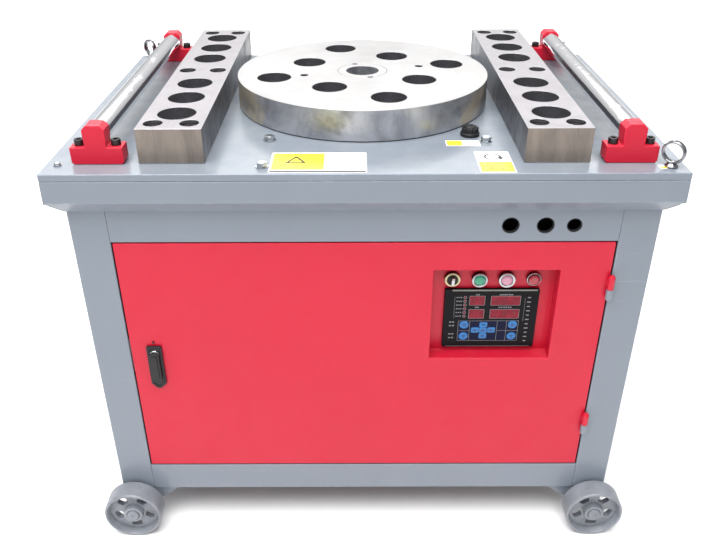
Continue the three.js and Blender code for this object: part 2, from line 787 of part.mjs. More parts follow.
function gear(spec, turn, boreR) {
  return alongZ(gearOutline(spec, turn, boreR), spec.low, spec.high);
}

// A stepped shaft between the gearbox's floor and its cover.
function gearShaft(bottom, bottomR) {
  const top = plateBottom - TOUCH - COVER_T + SEAT_DEPTH - TOUCH;
  const shoulder = top - SEAT_DEPTH - SHAFT_TOP_GAP;
  return turned(
    [
      [0, bottom],
      [bottomR, bottom],
      [bottomR, INPUT_PINION.low - SHAFT_SHOULDER],
      [SHAFT_R, INPUT_PINION.low - SHAFT_SHOULDER],
      [SHAFT_R, shoulder],
      [SHAFT_END_R, shoulder],
      [SHAFT_END_R, top],
      [0, top],
    ],
    SIDES_SMALL,
  );
}

// A gear that meshes with a tooth of its partner at the bearing given has a gap between teeth there.
function gapTurn(degrees, teeth) {
  return degrees * RAD + Math.PI + Math.PI / teeth;
}

function buildGears() {
  add("bull_gear", gear(BULL, LAY_TURN * RAD, SPINDLE_R + TOUCH), material.darkSteel);

  const seat = BOX_BOTTOM + BOX_FLOOR_T - SEAT_DEPTH + TOUCH;
  const layPinion = gear(LAY_PINION, gapTurn(LAY_TURN, LAY_PINION.teeth), 0);
  add("layshaft_pinion", join(gearShaft(seat, SHAFT_END_R), layPinion), material.darkSteel, lay.x, lay.y);
  const layWheel = gear(LAY_WHEEL, INPUT_TURN * RAD, SHAFT_R + TOUCH);
  add("layshaft_wheel", layWheel, material.darkSteel, lay.x, lay.y);

  const inputBottom = BELT_Z - pulleyHalfW - SHAFT_TAIL;
  const inputPinion = gear(INPUT_PINION, gapTurn(INPUT_TURN, INPUT_PINION.teeth), 0);
  const inputShaft = join(gearShaft(inputBottom, SHAFT_END_R), inputPinion);
  add("input_shaft", inputShaft, material.darkSteel, input.x, input.y);
}

// ---------------------------------------------------------------- gearbox
function buildGearbox() {
  const coverTop = plateBottom - TOUCH;
  const coverBottom = coverTop - COVER_T;
  const boxTop = coverBottom - TOUCH;
  const floorTop = BOX_BOTTOM + BOX_FLOOR_T;
  const inside = [
    BOX_LEFT + BOX_WALL,
    BOX_RIGHT - BOX_WALL,
    -BOX_HALF_D + BOX_WALL,
    BOX_HALF_D - BOX_WALL,
  ];
  const journal = outline(holeCircle(SPINDLE_JOURNAL_R + RUN, SIDES_MEDIUM));
  const endSeat = (low, high, at) => {
    return alongZ(outline(holeCircle(SHAFT_END_R + RUN, SIDES_SMALL, at.x, at.y)), low, high);
  };
  const housing = cut(
    box(BOX_LEFT, BOX_RIGHT, -BOX_HALF_D, BOX_HALF_D, BOX_BOTTOM, boxTop),
    box(...inside, floorTop, boxTop + OVER),
    alongZ(journal, floorTop - SEAT_DEPTH, floorTop + OVER),
    endSeat(floorTop - SEAT_DEPTH, floorTop + OVER, lay),
    endSeat(BOX_BOTTOM - OVER, floorTop + OVER, input),
  );
  add("gearbox_housing", housing, material.castIron);

  const plate = box(BOX_LEFT, BOX_RIGHT, -BOX_HALF_D, BOX_HALF_D, coverBottom, coverTop);
  const neck = cylinder(NECK_R, SIDES_MEDIUM, coverBottom + OVER, TABLE_TOP);
  const cover = cut(
    join(plate, neck),
    alongZ(outline(holeCircle(SPINDLE_R + RUN, SIDES_MEDIUM)), coverBottom - OVER, TABLE_TOP + OVER),
    endSeat(coverBottom - OVER, coverBottom + SEAT_DEPTH, lay),
    endSeat(coverBottom - OVER, coverBottom + SEAT_DEPTH, input),
  );
  add("gearbox_cover", cover, material.castIron);
}

// ---------------------------------------------------------------- belt drive and motor
// A V-belt pulley round its bore, with the groove that the belt sits in.
function pulleyGeometry(pitchR, boreR) {
  const rim = pitchR + BELT_PITCH_DEPTH + PULLEY_LIP;
  const slope = (BELT_W - BELT_FOOT_W) / 2 / BELT_T;
  const widthAt = (r) => BELT_FOOT_W / 2 + (r - pitchR - BELT_PITCH_DEPTH + BELT_T) * slope + RUN;
  const foot = pitchR + BELT_PITCH_DEPTH - BELT_T - 2 * RUN;
  return turned(
    [
      [boreR, -pulleyHalfW],
      [rim, -pulleyHalfW],
      [rim, -widthAt(rim)],
      [foot, -widthAt(foot)],
      [foot, widthAt(foot)],
      [rim, widthAt(rim)],
      [rim, pulleyHalfW],
      [boreR, pulleyHalfW],
      [boreR, -pulleyHalfW],
    ],
    SIDES_MEDIUM,
  );
}

// The belt: its V section carried round the two pulleys.
function beltGeometry() {
  const span = input.clone().sub(motorPlace);
  const bearing = Math.atan2(span.y, span.x);
  const wrap = Math.acos((SMALL_PULLEY_R - BIG_PULLEY_R) / span.length());
  const [leaves, arrives] = [bearing + wrap, bearing - wrap];
  const arcs = [
    { centre: input, r: BIG_PULLEY_R, from: arrives, to: leaves, steps: 14 },
    { centre: motorPlace, r: SMALL_PULLEY_R, from: leaves, to: arrives + 2 * Math.PI, steps: 10 },
  ];
  const stations = [];
  for (const { centre, r, from, to, steps } of arcs) {
    const apothem = r / Math.cos((to - from) / steps / 2);
    for (let i = 0; i <= steps; i++) {
      const angle = from + ((to - from) * i) / steps;
      const out = new THREE.Vector2(Math.cos(angle), Math.sin(angle));
      stations.push({ at: out.clone().multiplyScalar(i % steps ? apothem : r).add(centre), out });
    }
  }
  const section = polygon([
    [BELT_PITCH_DEPTH, -BELT_W / 2],
    [BELT_PITCH_DEPTH, BELT_W / 2],
    [BELT_PITCH_DEPTH - BELT_T, BELT_FOOT_W / 2],
    [BELT_PITCH_DEPTH - BELT_T, -BELT_FOOT_W / 2],
  ]);
  const positions = [];
  const corner = (station, k) => {
    const { at, out } = stations[station % stations.length];
    const { x, y } = section[k % section.length];
    positions.push(at.x + out.x * x, at.y + out.y * x, BELT_Z + y);
  };
  for (let s = 0; s < stations.length; s++) {
    for (let k = 0; k < section.length; k++) {
      corner(s, k);
      corner(s + 1, k);
      corner(s + 1, k + 1);
      corner(s, k);
      corner(s + 1, k + 1);
      corner(s, k + 1);
    }
  }
  const geometry = new THREE.BufferGeometry();
  geometry.setAttribute("position", new THREE.BufferAttribute(new Float32Array(positions), 3));
  geometry.computeVertexNormals();
  return geometry;
}

function motorGeometry() {
  const flangeTop = shelfTop - SHELF_T - TOUCH;
  const flangeBottom = flangeTop - MOTOR_FLANGE_T;
  const bottom = flangeTop - MOTOR_H;
  const cowlTop = bottom + MOTOR_COWL_H;
  const fins = [];
  for (let i = 0; i < MOTOR_FINS; i++) {
    const step = 360 / MOTOR_FINS;
    for (const side of [-1, 1]) {
      const root = polar(MOTOR_R - MOTOR_FIN_H, step * (i + side * MOTOR_FIN_ROOT));
      const tip = polar(MOTOR_R, step * (i + side * MOTOR_FIN_TIP));
      fins.push(...(side < 0 ? [root, tip] : [tip, root]));
    }
  }
  const terminal = box(
    -TERMINAL.w / 2,
    TERMINAL.w / 2,
    -MOTOR_R - TERMINAL.d,
    -MOTOR_R + TERMINAL.sink,
    cowlTop + TERMINAL.up,
    cowlTop + TERMINAL.up + TERMINAL.h,
  );
  return cut(
    join(
      alongZ(outline(fins), cowlTop - OVER, flangeBottom + OVER),
      cylinder(MOTOR_R, SIDES_MEDIUM, bottom, cowlTop),
      cylinder(MOTOR_FLANGE_R, SIDES_MEDIUM, flangeBottom, flangeTop),
      terminal,
    ),
    cylinder(MOTOR_SHAFT_R + 1.5 * RUN, SIDES_SMALL, flangeTop - MOTOR_SHAFT_SINK, flangeTop + OVER),
  );
}

// The motor's bracket: a web under the table, two ribs, and a shelf that the motor's flange hangs from.
function motorBracketGeometry() {
  const left = MOTOR_X - SHELF_MARGIN;
  const front = MOTOR_Y - SHELF_MARGIN;
  const rear = MOTOR_Y + SHELF_MARGIN;
  const web = box(left, left + SHELF_T, front, rear, shelfTop - SHELF_T, plateBottom - TOUCH);
  const shelf = box(left, MOTOR_X + SHELF_MARGIN, front, rear, shelfTop - SHELF_T, shelfTop);
  const rib = outline(
    polygon([
      [left + SHELF_T - OVER, shelfTop - OVER],
      [left + SHELF_T + RIB_X, shelfTop - OVER],
      [left + SHELF_T - OVER, shelfTop + RIB_Z],
    ]),
  );
  const bracket = join(web, shelf, alongY(rib, front, front + RIB_T), alongY(rib, rear - RIB_T, rear));
  const [holeLow, holeHigh] = [shelfTop - SHELF_T - OVER, shelfTop + OVER];
  return cut(bracket, cylinder(SHELF_HOLE_R, SIDES_MEDIUM, holeLow, holeHigh, MOTOR_X, MOTOR_Y));
}

function buildDrive() {
  const bigBore = SHAFT_END_R + TOUCH;
  add("driven_pulley", pulleyGeometry(BIG_PULLEY_R, bigBore), material.castIron, input.x, input.y, BELT_Z);
  const shaftLow = shelfTop - SHELF_T - TOUCH - MOTOR_SHAFT_SINK + MOTOR_SHAFT_END_GAP;
  const shaft = cylinder(MOTOR_SHAFT_R, SIDES_SMALL, shaftLow - BELT_Z, pulleyHalfW + MOTOR_SHAFT_END_GAP);
  const smallPulley = join(pulleyGeometry(SMALL_PULLEY_R, MOTOR_SHAFT_R - OVER), shaft);
  add("motor_pulley", smallPulley, material.castIron, MOTOR_X, MOTOR_Y, BELT_Z);
  add("drive_belt", beltGeometry(), material.rubber);
  add("motor_bracket", motorBracketGeometry(), material.greyPaint);
  add("motor", motorGeometry(), material.motorPaint, MOTOR_X, MOTOR_Y);
}

// ---------------------------------------------------------------- door with its recess and hinges
const controlX = (i) => recessLeft + CONTROL_SIDE + i * CONTROL_PITCH;
const controlZ = recessTop - CONTROL_TOP;
const lockX = -doorX + LOCK_SIDE;
const lockTop = doorTop - LOCK_DROP;
const barrelZ = lockTop - BARREL_DROP;

function buildDoor() {
  const inner = doorFront + DOOR_SHEET;
  const rear = doorFront + DOOR_FLANGE;
  const wall = DOOR_SHEET;
  const panel = cut(
    box(-doorX, doorX, doorFront, rear, doorBottom, doorTop),
    box(-doorX + wall, doorX - wall, inner, rear + OVER, doorBottom + wall, doorTop - wall),
    box(recessLeft, recessRight, doorFront - OVER, inner + OVER, recessBottom, recessTop),
    alongY(outline(holeCircle(BARREL_R + RUN, SIDES_SMALL, lockX, barrelZ)), doorFront - OVER, inner + OVER),
  );
  add("door", panel, material.redPaint);

  const controls = [0, 1, 2, 3].map((i) => holeCircle(CONTROL_HOLE_R, SIDES_SMALL, controlX(i), controlZ));
  const trayRim = polygon([
    [recessLeft - wall, recessBottom - wall],
    [recessRight + wall, recessBottom - wall],
    [recessRight + wall, recessTop + wall],
    [recessLeft - wall, recessTop + wall],
  ]);
  const tray = cut(
    alongY(outline(trayRim, controls), inner + TOUCH, recessBack + wall),
    box(recessLeft, recessRight, inner, recessBack, recessBottom, recessTop),
  );
  add("control_tray", tray, material.redPaint);

  const panelLeft = recessLeft + PANEL_SIDE;
  const panelTop = recessTop - PANEL_TOP;
  const near = recessBack - PANEL_PROUD;
  add(
    "control_panel",
    box(panelLeft, panelLeft + PANEL_W, near, recessBack - TOUCH, panelTop - PANEL_H, panelTop),
    material.blackPlastic,
  );

  const joints = { upper: doorTop - HINGE_FROM_TOP, lower: doorBottom + HINGE_FROM_BOTTOM };
  for (const [name, z] of Object.entries(joints)) {
    const sleeve = turned(
      [
        [0, HINGE_UPPER_H],
        [HINGE_END_R, HINGE_UPPER_H],
        [HINGE_R, HINGE_UPPER_H - HINGE_END_H],
        [HINGE_R, TOUCH],
        [HINGE_PIN_R + TOUCH, TOUCH],
        [HINGE_PIN_R + TOUCH, HINGE_UPPER_H - HINGE_SOCKET_END],
        [0, HINGE_UPPER_H - HINGE_SOCKET_END],
      ].reverse(),
      SIDES_TINY,
    );
    const pin = turned(
      [
        [0, -HINGE_LOWER_H],
        [HINGE_END_R, -HINGE_LOWER_H],
        [HINGE_R, -HINGE_LOWER_H + HINGE_END_H],
        [HINGE_R, -TOUCH],
        [HINGE_PIN_R, -TOUCH],
        [HINGE_PIN_R, HINGE_UPPER_H - HINGE_SOCKET_END - OVER],
        [0, HINGE_UPPER_H - HINGE_SOCKET_END - OVER],
      ],
      SIDES_TINY,
    );
    add("hinge_sleeve_" + name, sleeve, material.redPaint, hingeX, hingeY, z);
    add("hinge_pin_" + name, pin, material.greyPaint, hingeX, hingeY, z);
  }
}

// ---------------------------------------------------------------- push buttons, lamp and key switch
function buttonGeometry() {
  return turnedForward(
    [
      [0, -STEM_BACK],
      [BUTTON_STEM_R, -STEM_BACK],
      [BUTTON_STEM_R, BUTTON_PROUD - BUTTON_CAP_T],
      [BUTTON_R, BUTTON_PROUD - BUTTON_CAP_T],
      [BUTTON_R, BUTTON_PROUD - BUTTON_EDGE_H],
      [BUTTON_R - BUTTON_EDGE_R, BUTTON_PROUD],
      [0, BUTTON_PROUD],
    ],
    SIDES_SMALL,
  );
}

function keyGeometry() {
  const barrel = turnedForward(
    [
      [0, -STEM_BACK],
      [KEY_R, -STEM_BACK],
      [KEY_R, BUTTON_PROUD - BUTTON_TRAVEL],
      [0, BUTTON_PROUD - BUTTON_TRAVEL],
    ],
    SIDES_SMALL,
  );
  const half = KEY_LEVER_T / 2;
  const near = -(BUTTON_PROUD + KEY_LEVER_PROUD);
  const lever = box(-half, half, near, 0, -KEY_LEVER_L / 2, KEY_LEVER_L / 2);
  return join(barrel, lever);
}

function buildControls() {
  const key = add("key_switch", keyGeometry(), material.blackPlastic, controlX(0), recessBack, controlZ);
  key.rotation.y = KEY_LEVER_TURN * RAD;
  add("green_button", buttonGeometry(), material.greenLens, controlX(1), recessBack, controlZ);
  add("white_lamp", buttonGeometry(), material.whiteLens, controlX(2), recessBack, controlZ);
  add("red_button", buttonGeometry(), material.redLens, controlX(3), recessBack, controlZ);
}

// ---------------------------------------------------------------- door lock
function buildLock() {
  const half = LOCK_W / 2;
  const low = lockTop - LOCK_H;
  const face = polygon([
    [lockX - half, lockTop],
    [lockX - half, low + LOCK_POINT],
    [lockX, low],
    [lockX + half, low + LOCK_POINT],
    [lockX + half, lockTop],
  ]);
  const front = doorFront - TOUCH - LOCK_T;
  const housing = outline(face, [holeCircle(BARREL_R + RUN, SIDES_SMALL, lockX, barrelZ)]);
  add("lock_housing", alongY(housing, front, doorFront - TOUCH), material.blackPlastic);

  const barrelBack = doorFront + BARREL_BACK;
  const barrel = alongY(outline(circle(BARREL_R, SIDES_SMALL)), front - BARREL_PROUD, barrelBack);
  const camHalf = CAM_W / 2;
  const cam = box(-camHalf, camHalf, barrelBack - CAM_T - OVER, barrelBack - OVER, camHalf - CAM_L, camHalf);
  add("lock_barrel", join(barrel, cam), material.chrome, lockX, 0, barrelZ);

  const handleBack = front - BARREL_PROUD - TOUCH;
  const handleFront = handleBack - HANDLE_T;
  const grip = polygon([
    [-HANDLE_W / 2, HANDLE_PIVOT_R],
    [-HANDLE_W / 2, -HANDLE_L + HANDLE_CORNER_H],
    [-HANDLE_W / 2 + HANDLE_CORNER_W, -HANDLE_L],
    [HANDLE_W / 2 - HANDLE_CORNER_W, -HANDLE_L],
    [HANDLE_W / 2, -HANDLE_L + HANDLE_CORNER_H],
    [HANDLE_W / 2, HANDLE_PIVOT_R],
  ]);
  const handle = alongY(outline(grip), handleFront, handleBack);
  add("lock_handle", handle, material.blackPlastic, lockX, 0, barrelZ);
}

buildTable();
buildAprons();
buildCabinet();
buildWheels();
buildRollers();
buildEyebolts();
buildDoor();
buildControls();
buildLock();
middleY = DISC_BACK;
buildBlocks();
buildOilCap();
buildDisc();
buildGears();
buildGearbox();
buildDrive();

export default machine;
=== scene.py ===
import math

import bmesh
import bpy
from mathutils import Matrix, Vector
from mathutils.geometry import tessellate_polygon


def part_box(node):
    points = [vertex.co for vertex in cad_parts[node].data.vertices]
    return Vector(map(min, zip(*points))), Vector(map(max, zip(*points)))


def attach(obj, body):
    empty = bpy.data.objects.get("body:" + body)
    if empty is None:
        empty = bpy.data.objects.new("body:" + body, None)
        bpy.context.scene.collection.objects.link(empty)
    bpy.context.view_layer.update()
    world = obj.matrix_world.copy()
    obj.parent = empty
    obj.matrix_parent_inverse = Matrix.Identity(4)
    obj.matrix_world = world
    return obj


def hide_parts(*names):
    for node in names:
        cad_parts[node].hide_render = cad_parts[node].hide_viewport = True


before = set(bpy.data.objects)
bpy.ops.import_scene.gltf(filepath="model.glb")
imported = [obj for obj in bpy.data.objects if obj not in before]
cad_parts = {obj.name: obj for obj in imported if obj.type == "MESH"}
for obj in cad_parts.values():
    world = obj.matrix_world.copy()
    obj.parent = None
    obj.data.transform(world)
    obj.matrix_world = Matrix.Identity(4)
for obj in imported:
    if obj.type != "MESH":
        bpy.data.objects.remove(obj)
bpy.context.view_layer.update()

MM = 0.001

# ---------------- sizes that the frame's boxes don't give
PIN_R = 26.5
OUTER_PINS = (55.8, 15)  # from the disc's edge, and the first socket's bearing in degrees
INNER_PINS = (98.3, 60)
LIFT_HOLES = (103.8, 15)
LIFT_HOLE_R = 6.5
SPINDLE_BORE_R = 26
SPINDLE_BORE_DEPTH = 62
SPINDLE_JOURNAL_R = 30
SPINDLE_SHOULDER_Z = 571
BLOCK_PIN_Y = (71, 141.4, 211.8)
BLOCK_BOLT_X = 24.3
BLOCK_BOLT_Y = (-251.6, 0, 251.6)
BLOCK_BOLT_R = 13
BLOCK_BOLT_SINK = 14
BRACKET_BASE_H = 23.5
BRACKET_NECK_W = 28
BRACKET_FOOT = 3
BRACKET_CAP = 10
BRACKET_BOLT_X = 24.5
CROWN_CHAMFER = 6
CROWN_HALF_W = 15
ROLLER_R = 14.5
JOURNAL_R = 7
JOURNAL_L = 15
# The table's bolts, from the disc's centre.
TABLE_BOLTS = [(-134.6, -188.3), (-135.5, -286.3), (174, -194.3), (-134.6, 188.3), (174, 194.3)]
CABLE_ENTRIES = ((204.2, 12.2), (156.4, 12.2), (116.7, 10.6))  # from the cabinet's right edge, and radius
CABLE_ENTRY_DROP = 22.8
APRON_SLOPE = (21.2, 19.5)  # the sloped part's height and how far in it goes
LOCK_DROP = 14
BUTTON_R = 8
AXLE_R = 10
SPOKES = 5
BELT_W, BELT_FOOT_W, BELT_T, BELT_BACK = 22, 12, 14, 4.5
BIG_PULLEY_R, SMALL_PULLEY_R = 80, 40  # pitch radii
MOTOR_R = 87.6
TOUCH = 0.3


# ---------------- places from the frame
class Box:
    """A CAD node's box, in millimetres."""

    def __init__(self, node):
        low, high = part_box(node)
        self.x0, self.y0, self.z0 = (v / MM for v in low)
        self.x1, self.y1, self.z1 = (v / MM for v in high)
        self.w, self.d, self.h = self.x1 - self.x0, self.y1 - self.y0, self.z1 - self.z0
        self.x, self.y, self.z = (self.x0 + self.x1) / 2, (self.y0 + self.y1) / 2, (self.z0 + self.z1) / 2


CORNERS = [f"{end}_{side}" for end in ("front", "rear") for side in ("left", "right")]
SIGNS = [(sx, sy) for sx in (-1, 1) for sy in (-1, 1)]
table = Box("table_plate")
top = table.z1
door = Box("door")
recess_back = Box("control_panel").y1 + TOUCH
disc = Box("bending_disc")


# ---------------- shapes
def rotation(degrees, axis):
    return Matrix.Rotation(math.radians(degrees), 4, axis)


class Shape:
    """Points in millimetres, faces, and the number of each face's material."""

    def __init__(self, points=(), faces=(), paint=None):
        self.points = [Vector(p) for p in points]
        self.faces = list(faces)
        self.paint = paint or [0] * len(self.faces)

    def __add__(self, other):
        first = len(self.points)
        faces = [tuple(first + i for i in face) for face in other.faces]
        return Shape(self.points + other.points, self.faces + faces, self.paint + other.paint)

    def through(self, matrix):
        return Shape([matrix @ p for p in self.points], self.faces, self.paint)

    def moved(self, x=0.0, y=0.0, z=0.0):
        return self.through(Matrix.Translation((x, y, z)))

    def turned(self, degrees, axis="Z"):
        return self.through(rotation(degrees, axis))

    def facing(self):
        """Drawn in XY and rising along Z, it now stands in XZ and rises towards the operator."""
        return self.turned(90, "X")

    def painted(self, number):
        return Shape(self.points, self.faces, [number] * len(self.faces))


def circle(r, sides=64, x=0.0, y=0.0, start=0.0):
    angles = [math.radians(start) + 2 * math.pi * i / sides for i in range(sides)]
    return [(x + r * math.cos(a), y + r * math.sin(a)) for a in angles]


def hole(r, sides=48, x=0.0, y=0.0, start=0.0):
    return circle(r, sides, x, y, start)[::-1]


def polar(r, degrees):
    return r * math.cos(math.radians(degrees)), r * math.sin(math.radians(degrees))


def rectangle(w, h, x=0.0, y=0.0):
    return [(x - w / 2, y - h / 2), (x + w / 2, y - h / 2), (x + w / 2, y + h / 2), (x - w / 2, y + h / 2)]


def rounded(points, radius, closed=True, steps=4):
    """The outline with its corners rounded, each fillet limited by the straight stretches beside it."""
    points = [Vector(p) for p in points]
    count = len(points)
    smooth = []
    for i, p in enumerate(points):
        if not closed and i in (0, count - 1):
            smooth.append(p)
            continue
        back, ahead = points[i - 1] - p, points[(i + 1) % count] - p
        u, v = back.normalized(), ahead.normalized()
        half = math.acos(max(-1, min(1, u.dot(v)))) / 2
        if half > math.radians(88):
            smooth.append(p)
            continue
        reach = min(radius / math.tan(half), 0.49 * back.length, 0.49 * ahead.length)
        r = reach * math.tan(half)
        centre = p + (u + v).normalized() * (r / math.sin(half))
        a, b = p + u * reach - centre, p + v * reach - centre
        sweep = math.pi - 2 * half
        for k in range(steps + 1):
            f = k / steps
            out = a * math.sin((1 - f) * sweep) + b * math.sin(f * sweep)
            smooth.append(centre + out / math.sin(sweep))
    return [tuple(p) for p in smooth]


def inset(loop, distance):
    """The loop moved to its left, where the material is."""
    moved = []
    count = len(loop)
    for i, p in enumerate(loop):
        p = Vector(p)
        a = (p - Vector(loop[i - 1])).normalized()
        b = (Vector(loop[(i + 1) % count]) - p).normalized()
        left_a, left_b = Vector((-a.y, a.x)), Vector((-b.y, b.x))
        moved.append(p + (left_a + left_b) * (distance / (1 + left_a.dot(left_b))))
    return moved


def prism(loops, low, high, edge=0.8, steps=3, edge_paint=0, bore_paint=0):
    """A plate of an outline, anticlockwise, with clockwise holes, and round edges at both faces."""
    turns = [math.pi / 2 * k / steps for k in range(steps + 1)]
    bottom = [(low + edge * (1 - math.sin(t)), edge * (1 - math.cos(t))) for t in reversed(turns)]
    levels = bottom + [(high - (h - low), d) for h, d in reversed(bottom)]
    points, faces, paint = [], [], []
    first = []
    for height, distance in levels:
        first.append(len(points))
        for loop in loops:
            points += [(p[0], p[1], height) for p in inset(loop, distance)]
    for level in range(len(levels) - 1):
        a, b = first[level], first[level + 1]
        for number, loop in enumerate(loops):
            count = len(loop)
            wall = bore_paint if number else 0
            for k in range(count):
                j = (k + 1) % count
                faces.append((a + k, a + j, b + j, b + k))
                paint.append(wall if level == steps else edge_paint)
            a, b = a + count, b + count
    flat = [[Vector((*p, 0)) for p in inset(loop, edge)] for loop in loops]
    for corners in tessellate_polygon(flat):
        for start in (first[0], first[-1]):
            faces.append(tuple(start + i for i in corners))
            paint.append(0)
    return Shape(points, faces, paint)


def lathe(profile, fillet=0.0, sides=96, steps=3):
    """A turned solid round Z: pairs of radius and height, from the axis to the axis or closed on itself."""
    closed = profile[0][0] > 0
    if fillet:
        profile = rounded(profile, fillet, closed, steps)
    points, rings, faces = [], [], []
    for r, h in profile:
        start = len(points)
        if r < 1e-6:
            points.append((0, 0, h))
            rings.append([start] * sides)
        else:
            points += [(x, y, h) for x, y in circle(r, sides)]
            rings.append(list(range(start, start + sides)))
    pairs = list(zip(rings, rings[1:]))
    if closed:
        pairs.append((rings[-1], rings[0]))
    for a, b in pairs:
        for k in range(sides):
            j = (k + 1) % sides
            face = tuple(dict.fromkeys((a[k], a[j], b[j], b[k])))
            if len(face) > 2:
                faces.append(face)
    return Shape(points, faces)


def rod(r, low, high, fillet=0.0, sides=48, steps=3, dome=0.0):
    """A round bar along Z, whose top may rise towards its middle."""
    return lathe([(0, low), (r, low), (r, high), (0, high + dome)], fillet, sides, steps)


def brick(x0, x1, y0, y1, z0, z1, edge=0.3):
    """A small block with broken edges."""
    return prism([rectangle(x1 - x0, y1 - y0, (x0 + x1) / 2, (y0 + y1) / 2)], z0, z1, edge, 1)


def skin(rings, endless=False):
    """A skin over rings of points, with flat ends unless the last ring meets the first."""
    row, count = len(rings[0]), len(rings)
    faces = []
    for i in range(count if endless else count - 1):
        n = (i + 1) % count
        for k in range(row):
            j = (k + 1) % row
            faces.append((i * row + k, i * row + j, n * row + j, n * row + k))
    if not endless:
        faces.append(tuple(range(row)))
        faces.append(tuple((count - 1) * row + k for k in reversed(range(row))))
    return Shape([p for ring in rings for p in ring], faces)


def swept(path, r, sides=10):
    """A bead of round section along a path, thinned almost to a point at both ends."""
    path = [Vector(p) for p in path]
    last = len(path) - 1
    rings = []
    for i, p in enumerate(path):
        along = (path[min(i + 1, last)] - path[max(i - 1, 0)]).normalized()
        side = along.orthogonal().normalized()
        other = along.cross(side)
        size = r * (0.35 + 0.65 * math.sin(math.pi * i / last) ** 0.5) if 0 < i < last else 0.02 * r
        rings.append([p + side * x + other * y for x, y in circle(size, sides)])
    return skin(rings)


# ---------------- pieces
def piece(name, shape, body, materials, replaces=()):
    """Makes the shape a piece that rides on a body, with the materials it is given."""
    mesh = bpy.data.meshes.new(name)
    mesh.from_pydata([p * MM for p in shape.points], [], shape.faces)
    for material in materials:
        mesh.materials.append(material)
    mesh.polygons.foreach_set("material_index", shape.paint)
    work = bmesh.new()
    work.from_mesh(mesh)
    bmesh.ops.recalc_face_normals(work, faces=work.faces)
    work.to_mesh(mesh)
    work.free()
    mesh.shade_smooth()
    mesh.set_sharp_from_angle(angle=math.radians(38))
    made = bpy.data.objects.new(name, mesh)
    bpy.context.scene.collection.objects.link(made)
    weigh(made, True)
    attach(made, body)
    if replaces:
        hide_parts(*replaces)


def weigh(made, keep_sharp):
    """Large faces keep their own normal, and round edges take the turn between them."""
    weighted = made.modifiers.new("weighted", "WEIGHTED_NORMAL")
    weighted.weight = 80
    weighted.keep_sharp = keep_sharp


def polish(node, materials, width, steps=3):
    """Gives a CAD node its materials and rounds its sharp edges, with the last material on the edges."""
    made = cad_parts[node]
    made.data.materials.clear()
    for material in materials:
        made.data.materials.append(material)
    made.modifiers.new("weld", "WELD").merge_threshold = 0.02 * MM
    merge = made.modifiers.new("planar", "DECIMATE")
    merge.decimate_type = "DISSOLVE"
    merge.angle_limit = math.radians(0.5)
    bevel = made.modifiers.new("round_edges", "BEVEL")
    bevel.width = width * MM
    bevel.segments = steps
    bevel.limit_method = "ANGLE"
    bevel.angle_limit = math.radians(30)
    bevel.material = len(materials) - 1
    weigh(made, False)


# ---------------- materials
class Graph:
    """A shader's node tree, in short calls. Its textures lie in the object's own coordinates, in metres."""

    def __init__(self, owner, shader="Principled BSDF"):
        owner.use_nodes = True
        self.owner = owner
        self.tree = owner.node_tree
        self.shader = self.tree.nodes[shader]
        self.place = self.add("ShaderNodeTexCoord").outputs["Object"]

    def add(self, kind, inputs=None, **settings):
        node = self.tree.nodes.new(kind)
        for key, value in settings.items():
            setattr(node, key, value)
        for key, value in (inputs or {}).items():
            self.feed(node.inputs[key], value)
        return node

    def feed(self, socket, value):
        if isinstance(value, bpy.types.NodeSocket):
            self.tree.links.new(value, socket)
        elif socket.type == "RGBA" and len(value) == 3:
            socket.default_value = (*value, 1)
        else:
            socket.default_value = value

    def stretched(self, scale, shift=(0, 0, 0), place=None):
        inputs = {"Vector": place or self.place, "Scale": scale, "Location": shift}
        return self.add("ShaderNodeMapping", inputs).outputs["Vector"]

    def noise(self, scale, detail=3.0, roughness=0.5, shift=(0, 0, 0), distortion=0.0, place=None):
        scale = (scale,) * 3 if isinstance(scale, (int, float)) else scale
        inputs = {"Vector": self.stretched(scale, shift, place), "Scale": 1.0, "Detail": detail}
        inputs |= {"Roughness": roughness, "Distortion": distortion}
        return self.add("ShaderNodeTexNoise", inputs).outputs["Fac"]

    def ramp(self, value, low, high, bottom=0.0, ceiling=1.0):
        """The value's stretch from low to high, spread from bottom to ceiling and held there."""
        inputs = {0: value, 1: low, 2: high, 3: bottom, 4: ceiling}
        return self.add("ShaderNodeMapRange", inputs, clamp=True, interpolation_type="SMOOTHSTEP").outputs[0]

    def math(self, operation, a, b=0.0):
        return self.add("ShaderNodeMath", {0: a, 1: b}, operation=operation).outputs[0]

    def times(self, a, b):
        return self.math("MULTIPLY", a, b)

    def mix(self, share, a, b):
        return self.add("ShaderNodeMix", {0: share, 6: a, 7: b}, data_type="RGBA").outputs[2]

    def over(self, base, mask, share, colour):
        """The base colour, with another laid over it where the mask is, up to a share."""
        return self.mix(self.times(mask, share), base, colour)

    def parts(self, vector):
        return self.add("ShaderNodeSeparateXYZ", {0: vector}).outputs

    def bump(self, height, strength, distance):
        inputs = {"Height": height, "Strength": strength, "Distance": distance}
        return self.add("ShaderNodeBump", inputs).outputs["Normal"]

    def normal(self):
        return self.parts(self.add("ShaderNodeNewGeometry").outputs["Normal"])

    def facing_up(self):
        """1 on faces that look up, 0 on the others."""
        return self.ramp(self.normal()[2], 0.6, 0.95)

    def facing_across(self):
        """1 on faces that look along x, 0 on the others."""
        return self.ramp(self.math("ABSOLUTE", self.normal()[0]), 0.6, 0.9)

    def put(self, **values):
        for key, value in values.items():
            self.feed(self.shader.inputs[key.replace("_", " ")], value)
        return self.owner


def finish(name):
    return Graph(bpy.data.materials.new(name))


def srgb(*colour):
    """A colour as the eye names it, 0 to 255, in the shader's linear numbers."""
    shares = (v / 255 for v in colour)
    return tuple(v / 12.92 if v <= 0.04045 else ((v + 0.055) / 1.055) ** 2.4 for v in shares)


def shade(colour, factor):
    return tuple(min(1.0, c * factor) for c in colour)


